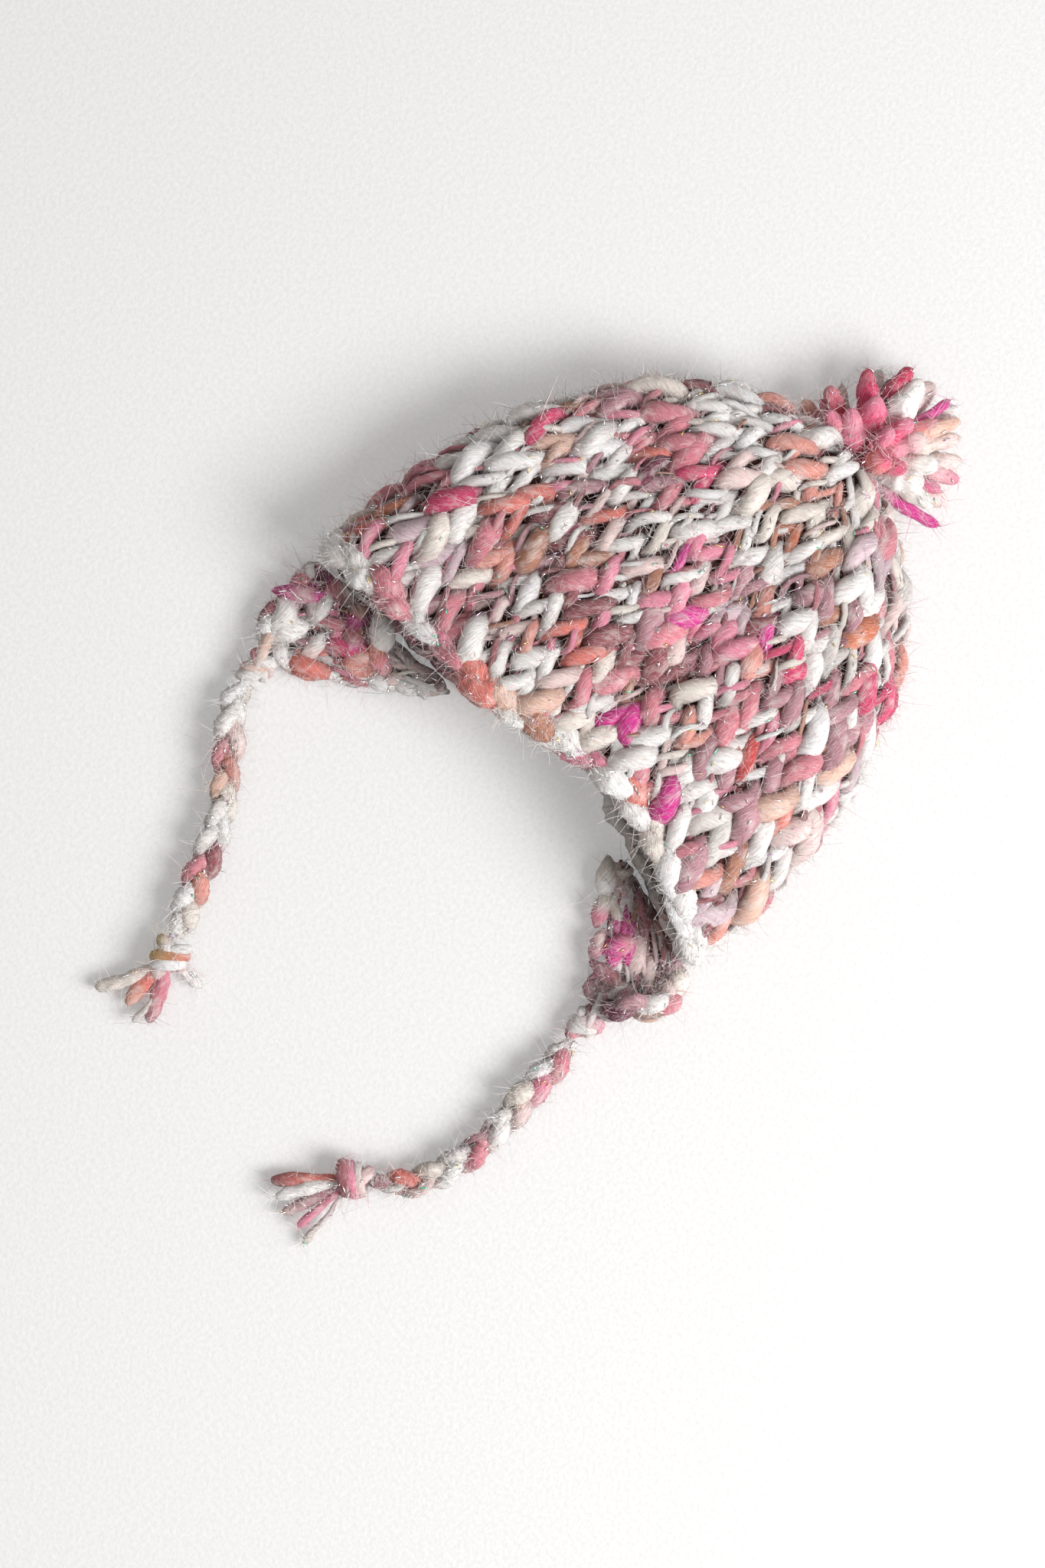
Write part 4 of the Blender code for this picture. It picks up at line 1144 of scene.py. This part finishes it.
POMPOM_PLUMES = """
-26.9 77.4 12 2.4 crimson,crimson,peach
-23.1 82.3 17 1.2 cream,white,hot
-22.4 92.0 8 1.5 cream,pale,cream
-13.6 86.4 26 4.1 crimson,hot,pink,pink
-20.3 101.0 17 3.0 hot,crimson,hot,crimson
-10.6 96.4 27 3.8 magenta,hot,hot,pink
-13.9 97.3 20 1.1 white,white,white
-17.2 105.3 9 2.4 cream,grey,grey
-11.7 105.7 16 2.2 dusk,gold,dusk,dusk
-9.9 112.6 20 1.9 crimson,hot,crimson
-5.1 112.6 19 4.2 white,white,white,white
-1.0 116.4 9 3.6 pale,pale,pale
7.0 115.6 18 1.5 hot,hot,magenta,magenta
10.5 116.6 13 2.0 white,white,white
14.5 113.5 17 2.3 salmon,peach,peach
9.4 107.0 22 1.4 coral,coral,rose
19.0 110.5 12 2.6 cream,cream,pale
3.2 99.4 29 3.4 crimson,hot,hot,pink
1.5 91.5 33 2.4 crimson,hot,pink
8.6 84.6 31 3.5 crimson,hot,coral,hot
15.0 86.6 27 2.8 hot,rose,hot
22.6 88.6 25 4.0 cream,white,white,white
30.3 99.6 15 2.6 pale,pale,pink
29.0 92.4 18 1.6 pale,magenta,pink
37.4 84.3 14 1.9 pale,magenta,magenta
25.4 105.5 14 2.8 white,white,pale
31.0 86.0 22 2.6 white,cream,white
34.0 92.0 9 2.6 cream,pale,pale
-24.6 86.5 20 2.6 hot,crimson,rose
-3.5 104.5 26 2.8 pink,white,white
21.5 96.5 24 3.2 pale,cream,white
12.0 99.0 28 3.2 pink,pink,pale
-18.0 80.0 25 3.0 hot,crimson,pink
3.0 108.5 7 3.4 cream,pale,white
22.0 103.0 6 3.2 cream,cream,white
-12.0 101.0 6 3.2 rose,hot,crimson
26.0 80.5 12 2.1 white,pale,cream
"""


def read_plumes(text):
    """Tips in metres, thicknesses in metres and dye names, one plume to a line."""
    words = [line.split() for line in text.strip().splitlines()]
    sizes = np.array([[float(word) for word in line[:4]] for line in words]) * MM
    return sizes[:, :3], sizes[:, 3], [line[4].split(",") for line in words]


plume_rng = np.random.default_rng(61)
plume_tips, plume_sizes, plume_dyes = read_plumes(POMPOM_PLUMES)
reach_from_binding = np.linalg.norm(plume_tips - BINDING, axis=1)
plume_roots = BINDING + unit(plume_tips - BINDING) * ROOT_DISTANCE
plume_bends = plume_rng.normal(0, 1.0, plume_tips.shape) * MM * (reach_from_binding / 0.03)[:, None]
plume_strands = plumes(plume_roots, plume_tips, plume_bends, plume_sizes * FLUFFED, plume_dyes, plume_rng)
for number in range(len(plume_tips)):
    strand = batch(*(part[number : number + 1] for part in plume_strands), 16)
    stands_for = [f"pompom_strand_{number + 1:02d}"] if number < PACKED_STRANDS else ()
    add_piece(f"pompom_plume_{number + 1:02d}", [strand], CUT_YARN, "pompom", stands_for)

# %% [markdown]
# ## The ties
# Each tie is looped through the tip of its flap, plaited, tied in a knot, and left with loose ends. The
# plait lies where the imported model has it, so its route is written out again here, from the same points. The
# loose ends are plumes like the pom pom's, only thinner.

# %% Ties
LOOP_RADIUS, BRAID_RADIUS, TIE_KNOT_RADIUS = 0.006, 0.0065, 0.0075
BRAID_Z = BRAID_RADIUS + GAP
LOOPS = {"left": np.array([-0.082, -0.12841, 0.006]), "right": np.array([0.0885, -0.12386, 0.006])}
ROUTES = {
    "left": (
        "0,0 2.0,-6.2 5.8,-11.8 10.4,-17.2 15.2,-22.2 20.4,-26.6 25.2,-31.8 28.4,-35.8 31.0,-40.0 "
        "33.6,-44.4 36.2,-48.8 38.2,-53.2 40.3,-57.8 42.8,-62.2 45.5,-66.8 48.0,-71.5 51.2,-76.8"
    ),
    "right": (
        "0,0 1.0,-5.5 2.3,-11.2 3.1,-17.2 3.8,-23.4 4.6,-29.6 5.4,-35.8 5.8,-41.6 5.9,-47.0 5.8,-52.0 "
        "5.5,-57.0 4.9,-61.8 4.1,-66.6 2.8,-71.2 0.5,-76.0 -3.0,-80.8 -8.0,-85.2"
    ),
}
KNOT_DYES = {
    "left": numbers("white", "gold", "coral", "white", "pale"),
    "right": numbers("white", "pale", "pink", "rose", "dusk"),
}
PLAIT_DYES = {
    "left": numbers(
        "white", "pale", "peach", "white", "rose", "cream", "white", "salmon", "white", "dusk", "white",
        "cream", "salmon", "white", "pink", "white", "pale", "coral",
    ),
    "right": numbers(
        "white", "pink", "white", "rose", "cream", "white", "white", "pale", "mauve", "white", "coral",
        "white", "pale", "white", "pink", "white", "rose", "white",
    ),
}
ENDS = {
    "left": "-110 28.5 2.7 4 pale,cream,cream|-84 22.5 3.2 5 coral,coral,peach|-60 24 2.9 5 pink,rose,mauve|"
    "-72 26 1.3 6 white,cream,white|6 15 2.1 4 white,white",
    "right": "-130 29 2.6 5 coral,coral,dusk|-118 28 2.4 8 white,white,white|-105 28 2.0 4 mauve,mauve,pale|"
    "-90 26 1.5 6 pink,pink,pink|-79 29 1.6 3 white,white,cream",
}


def smooth_route(points, count):
    """Evenly spaced points on a Catmull-Rom curve: a cubic for each stretch, set by four points."""
    known = np.concatenate([[2 * points[0] - points[1]], points, [2 * points[-1] - points[-2]]])
    t = np.linspace(0, 1, 24, endpoint=False)[None, :, None]
    before, start, end, after = (known[k : len(known) - 3 + k, None] for k in range(4))
    fine = 0.5 * (
        2 * start + (end - before) * t + (2 * before - 5 * start + 4 * end - after) * t**2
        + (3 * start - before - 3 * end + after) * t**3
    )
    fine = np.concatenate([fine.reshape(-1, 3), known[-2:-1]])
    return even_by_distance(fine[None], count, 1)[0]


def laid_route(side):
    """The route's points on the table, from the face where the plait leaves its loop."""
    steps = np.array([[float(part) for part in word.split(",")] for word in ROUTES[side].split()]) * MM
    start = LOOPS[side][:2] + unit(steps[1] - steps[0]) * (LOOP_RADIUS + GAP)
    return np.concatenate([start + steps, np.full((len(steps), 1), BRAID_Z)], axis=1)


def make_tie(side, rng):
    """Loop, plait, knot and loose ends of one tie."""
    plait_dyes, knot_dyes = PLAIT_DYES[side], KNOT_DYES[side]
    route = smooth_route(laid_route(side), 420)
    up = np.broadcast_to(np.array([0.0, 0.0, 1.0]), route.shape)
    strands = plait(
        route, up, 32 * MM, 3.1 * MM, 1.9 * MM, 2.65 * MM, rng, ends=7 * MM, dyes=plait_dyes, thin=0.5,
        spread=0.34,
    )
    braid = add_piece(f"{side}_plait", strands, YARN, f"{side}_tie", [f"{side}_tie_braid"])
    toward = unit(route[4] - route[0])
    loop = add_piece(
        f"{side}_loop_through_flap",
        [coil(LOOPS[side], toward, (3.3 * MM, 3.0 * MM), 2.6, 7.5 * MM, 2.1 * MM, rng, plait_dyes[:4],
              tilt=0.7),
         coil(LOOPS[side] - toward * 1.5 * MM, (toward[1], -toward[0], 0.3), (3.0 * MM, 2.6 * MM), 1.6,
              4 * MM, 1.7 * MM, rng, plait_dyes[3:6], tilt=0.9)],
        YARN, f"{side}_tie_loop", [f"{side}_tie_loop"],
    )
    through = LOOPS[side] - toward * 6.0 * MM
    add_piece(
        f"{side}_yarn_through_flap_tip",
        [coil(through, (toward[1], -toward[0], 0.0), (7.5 * MM, 4.2 * MM), 1.3, 5 * MM, 1.9 * MM, rng,
              plait_dyes[1:4], tilt=0.3)],
        YARN, f"{side}_tie_loop",
    )
    onward = unit(route[-1] - route[-6])
    knot_centre = route[-1] + onward * (TIE_KNOT_RADIUS + GAP)
    knot_centre[2] = TIE_KNOT_RADIUS
    knot = add_piece(
        f"{side}_end_knot",
        [coil(knot_centre, onward, (4.6 * MM, 4.0 * MM), 3.3, 8.5 * MM, 2.3 * MM, rng, knot_dyes, tilt=0.45),
         coil(knot_centre - onward * 2 * MM, (onward[1], -onward[0], 0.2), (3.6 * MM, 3.2 * MM), 1.7, 3 * MM,
              2.0 * MM, rng, knot_dyes[::-1], tilt=1.1)],
        YARN, f"{side}_tie", [f"{side}_tie_knot"],
    )
    for number, words in enumerate(ENDS[side].split("|"), 1):
        azimuth, reach, thickness, height, names = words.split()
        azimuth = np.radians(float(azimuth))
        tip = knot_centre + float(reach) * MM * np.array([np.cos(azimuth), np.sin(azimuth), 0])
        tip[2] = float(height) * MM * 0.9
        root = knot_centre + unit(tip - knot_centre) * 3.0 * MM
        bend = np.array([-np.sin(azimuth), np.cos(azimuth), 0.3]) * rng.normal(0, 1.0) * MM
        thickness = float(thickness) * MM
        strand = batch(*plumes([root], [tip], [bend], [thickness], [names.split(",")], rng, neck=0.6), 14)
        stands_for = [f"{side}_tassel_end_{number}"]
        add_piece(f"{side}_loose_end_{number}", [strand], YARN, f"{side}_tie", stands_for)


make_tie("left", np.random.default_rng(71))
make_tie("right", np.random.default_rng(73))

# %% [markdown]
# ## Fuzz
# Loose fibres stand out all over the yarn and give the hat its soft outline. Each fibre is a very thin bent
# strand that starts on the yarn, aims partly outward and partly along it, and curls:
# root + length (aim t + curl t^2).
# Every one is a closed tube with three sides and three or four rings, so that many thousands stay light.
# There are three kinds: short ones all over, longer ones, and a halo where the fabric turns away to the
# side.

# %% Fuzz
SKEW = np.array([0.31, 0.52, 0.79])


def fibre_batch(roots, outward, along, shades, lengths, lift, rng, radius, rings):
    """Bent fibres: root + length (aim t + curl t^2), with aim along outward x lift + along x lean."""
    t = np.linspace(0, 1, rings)[None, :, None]
    lean = rng.normal(0, 0.8, (len(roots), 1))
    curl = rng.normal(0, 0.6, (len(roots), 3))
    aim = unit(outward * lift[:, None] + along * lean + rng.normal(0, 0.35, roots.shape))
    start = roots - outward * 0.3 * MM
    centres = start[:, None] + lengths[:, None, None] * (aim[:, None] * t + curl[:, None] * t**2)
    centres[..., 2] = np.maximum(centres[..., 2], 0.3 * MM)
    helper = np.broadcast_to(SKEW, centres.shape)
    radii = radius[:, None] * (1 - 0.6 * np.linspace(0, 1, rings) ** 2)[None]
    dye = np.broadcast_to(shades[:, None], centres.shape)
    return batch(centres, radii, helper, dye, 3, lobes=0)[:5]


def hair_material(name):
    """One loose wool fibre: the dye of its place, with soft changes of tone along it."""
    material, tree, shader = new_material(name, 0.7, sheen=0.3, specular=0.3)
    patch = noise(tree, yarn_place(tree), 3.0, 1.0)
    tint = mixed(tree, 1.0, dye_colour(tree), ramp(tree, patch, 0.3, 0.7, 0.85, 1.1), "MULTIPLY")
    link(tree, tint, shader.inputs["Base Color"])
    return material


HAIR = hair_material("loose_fibre")
FUZZ_COUNTS = {
    "hat": (10800, 8000, 8000), "left_flap": (1500, 1100, 700), "right_flap": (1500, 1000, 700),
    "pompom": (2400, 900, 600), "left_tie": (1500, 500, 500), "right_tie": (1500, 500, 500),
    "left_tie_loop": (160, 40, 30), "right_tie_loop": (160, 40, 30), "pompom_neck": (80, 20, 10),
}
FIBRE_KINDS = (
    ("short", 0.8, 3.0, 0.07, 3, 0.0), ("long", 3.0, 7.6, 0.085, 4, 0.7), ("halo", 1.6, 6.0, 0.09, 4, 4.0),
)


def yarn_surface(body):
    """All skin points of a body's yarn: place, outward, along, colour, facing and upright."""
    return (np.concatenate([source[part] for source in FUZZY[body]]) for part in range(6))


def grow_fuzz(body, counts, rng):
    """Fibres of every kind, drawn by chances of 1 + sideways x e^(-(upright / 0.45)^2)."""
    roots, outward, along, shades, facing, upright = yarn_surface(body)
    usable = np.flatnonzero((facing > 0.2) & (roots[:, 2] > 1.0 * MM) & (upright > -0.35))
    for (kind, low, high, thick, rings, sideways), count in zip(FIBRE_KINDS, counts):
        chances = 1 + sideways * np.exp(-((upright[usable] / 0.45) ** 2))
        picked = rng.choice(usable, count, p=chances / chances.sum())
        lengths = rng.uniform(low, high, count) * MM
        pale = rng.uniform(0.1, 0.85, (count, 1))
        # The root's colour carries the yarn's painted shade, and the white mixed in lightens it.
        shade = shades[picked] * (1 - pale) + dye_of("white") * pale
        lift = rng.uniform(0.25, 0.95, count)
        radius = rng.uniform(0.7, 1.2, count) * thick * MM
        fibres = fibre_batch(
            roots[picked], outward[picked], along[picked], shade, lengths, lift, rng, radius, rings
        )
        add_piece(f"{body}_{kind}_fibres", [fibres], HAIR, body)


fuzz_rng = np.random.default_rng(83)
for body, counts in FUZZ_COUNTS.items():
    grow_fuzz(body, counts, fuzz_rng)

# %% [markdown]
# ## Glitter
# A fine metallic thread is spun into the yarn, and comes to the surface in short glints. Each glint is a
# short flat sliver lying on the yarn. Most are silver, and a few are green, gold or violet.

# %% Glints
def foil_material(name):
    """Thin metal foil with a slightly uneven gloss."""
    material, tree, shader = new_material(name, 0.25, specular=0.5)
    shader.inputs["Metallic"].default_value = 1.0
    grain = noise(tree, yarn_place(tree), 14.0, 1.0)
    link(tree, dye_colour(tree), shader.inputs["Base Color"])
    link(tree, ramp(tree, grain, 0.3, 0.7, 0.15, 0.4), shader.inputs["Roughness"])
    return material


FOIL = foil_material("metallic_thread")
FOIL_TINTS = linear(np.array([(248, 251, 253), (130, 230, 196), (246, 222, 150), (232, 208, 242)]))
TINT_CHANCES = (0.80, 0.06, 0.08, 0.06)


def add_glints(body, count, rng):
    """Short slivers along the yarn, a little above its surface."""
    roots, outward, along, _, facing, _ = yarn_surface(body)
    picked = rng.choice(np.flatnonzero((facing > 0.5) & (roots[:, 2] > 2 * MM)), count)
    t = np.linspace(-0.5, 0.5, 4)[None, :, None]
    aim = unit(along[picked] + rng.normal(0, 0.6, (count, 3)))
    lengths = rng.uniform(0.7, 3.4, count)[:, None, None] * MM
    centres = (roots[picked] + outward[picked] * 0.35 * MM)[:, None] + aim[:, None] * t * lengths
    centres += outward[picked][:, None] * (0.3 * MM * (1 - 4 * t**2))
    radii = np.broadcast_to(rng.uniform(0.13, 0.26, (count, 1)) * MM, (count, 4))
    dye = FOIL_TINTS[rng.choice(4, count, p=TINT_CHANCES)]
    helper, dye = np.broadcast_to(SKEW, centres.shape), np.broadcast_to(dye[:, None], centres.shape)
    slivers = batch(centres, radii, helper, dye, 4, flatten=0.4)[:5]
    add_piece(f"{body}_glints", [slivers], FOIL, body)


glint_rng = np.random.default_rng(97)
GLINT_COUNTS = {
    "hat": 3600, "left_flap": 520, "right_flap": 200, "left_tie": 90, "right_tie": 140, "pompom": 120,
}
for body, count in GLINT_COUNTS.items():
    add_glints(body, count, glint_rng)

# %% [markdown]
# ## Floor and light
# The hat lies on plain pale paper with a fine tooth. One large soft lamp stands on the hat's right, about as
# high as it is far, so the shadows fall softly to the left, and the pale room fills the rest. Seen directly,
# the paper glows a little and the room is brighter, so that the ground runs on without a hard horizon. That
# extra brightness lights nothing.

# %% Floor
PAPER_GLOW = 0.27
HALF_PAPER = 5.0


def seen_directly(tree):
    """1 for rays from the camera, off a gloss or through glass, and 0 for the rays that light things."""
    path = tree.nodes.new("ShaderNodeLightPath")
    seen = path.outputs["Is Camera Ray"]
    for ray in ("Is Glossy Ray", "Is Transmission Ray"):
        either = tree.nodes.new("ShaderNodeMath")
        either.operation = "MAXIMUM"
        link(tree, seen, either.inputs[0])
        link(tree, path.outputs[ray], either.inputs[1])
        seen = either.outputs[0]
    return seen


def make_floor():
    """A flat square of pale paper with a fine bump."""
    mesh = bpy.data.meshes.new("table_paper")
    corners = [(x * HALF_PAPER, y * HALF_PAPER, 0) for x, y in ((-1, -1), (1, -1), (1, 1), (-1, 1))]
    mesh.from_pydata(corners, [], [(0, 1, 2, 3)])
    material, tree, shader = new_material("paper", 0.8, specular=0.2)
    place = tree.nodes.new("ShaderNodeTexCoord")
    tooth = noise(tree, place.outputs["Object"], 620, 3.0, 0.6)
    shade = ramp(tree, tooth, 0.3, 0.7, 0.53, 0.61)
    link(tree, mixed(tree, 1.0, (1.0, 0.99, 0.98, 1), shade, "MULTIPLY"), shader.inputs["Base Color"])
    raised(tree, shader, tooth, 0.35, 0.6 * MM)
    shader.inputs["Emission Color"].default_value = (1, 1, 1, 1)
    link(tree, ramp(tree, seen_directly(tree), 0, 1, 0, PAPER_GLOW), shader.inputs["Emission Strength"])
    mesh.materials.append(material)
    floor = bpy.data.objects.new("table_paper", mesh)
    bpy.context.scene.collection.objects.link(floor)
    return floor


make_floor()
print("the paper is", round(2 * HALF_PAPER), "m square")

# %% Light
def add_lamp(name, place, target, size, power, colour):
    """A square area lamp at a place, turned to look at a target."""
    lamp = bpy.data.lights.new(name, "AREA")
    lamp.size = size
    lamp.energy = power
    lamp.color = colour
    thing = bpy.data.objects.new(name, lamp)
    away = np.array(place) - np.array(target)
    flat = float(np.hypot(away[0], away[1]))
    thing.location = place
    tipped, turned = np.arctan2(flat, away[2]), np.arctan2(away[1], away[0]) + np.pi / 2
    thing.rotation_euler = (float(tipped), 0, float(turned))
    bpy.context.scene.collection.objects.link(thing)
    return thing


window = add_lamp("window", (1.08, 0.40, 1.15), (0.0, -0.06, 0.0), 0.8, 33.5, (0.995, 0.995, 1.0))
world = bpy.data.worlds.new("pale_room")
world.use_nodes = True
world.node_tree.nodes["Background"].inputs["Color"].default_value = (1.0, 0.965, 0.935, 1)
WORLD_STRENGTH, BACKDROP = 0.36, 0.97
sky = ramp(world.node_tree, seen_directly(world.node_tree), 0, 1, WORLD_STRENGTH, BACKDROP)
link(world.node_tree, sky, world.node_tree.nodes["Background"].inputs["Strength"])
bpy.context.scene.world = world
print("one lamp of", round(window.data.energy, 1), "W, and a world of strength", WORLD_STRENGTH)
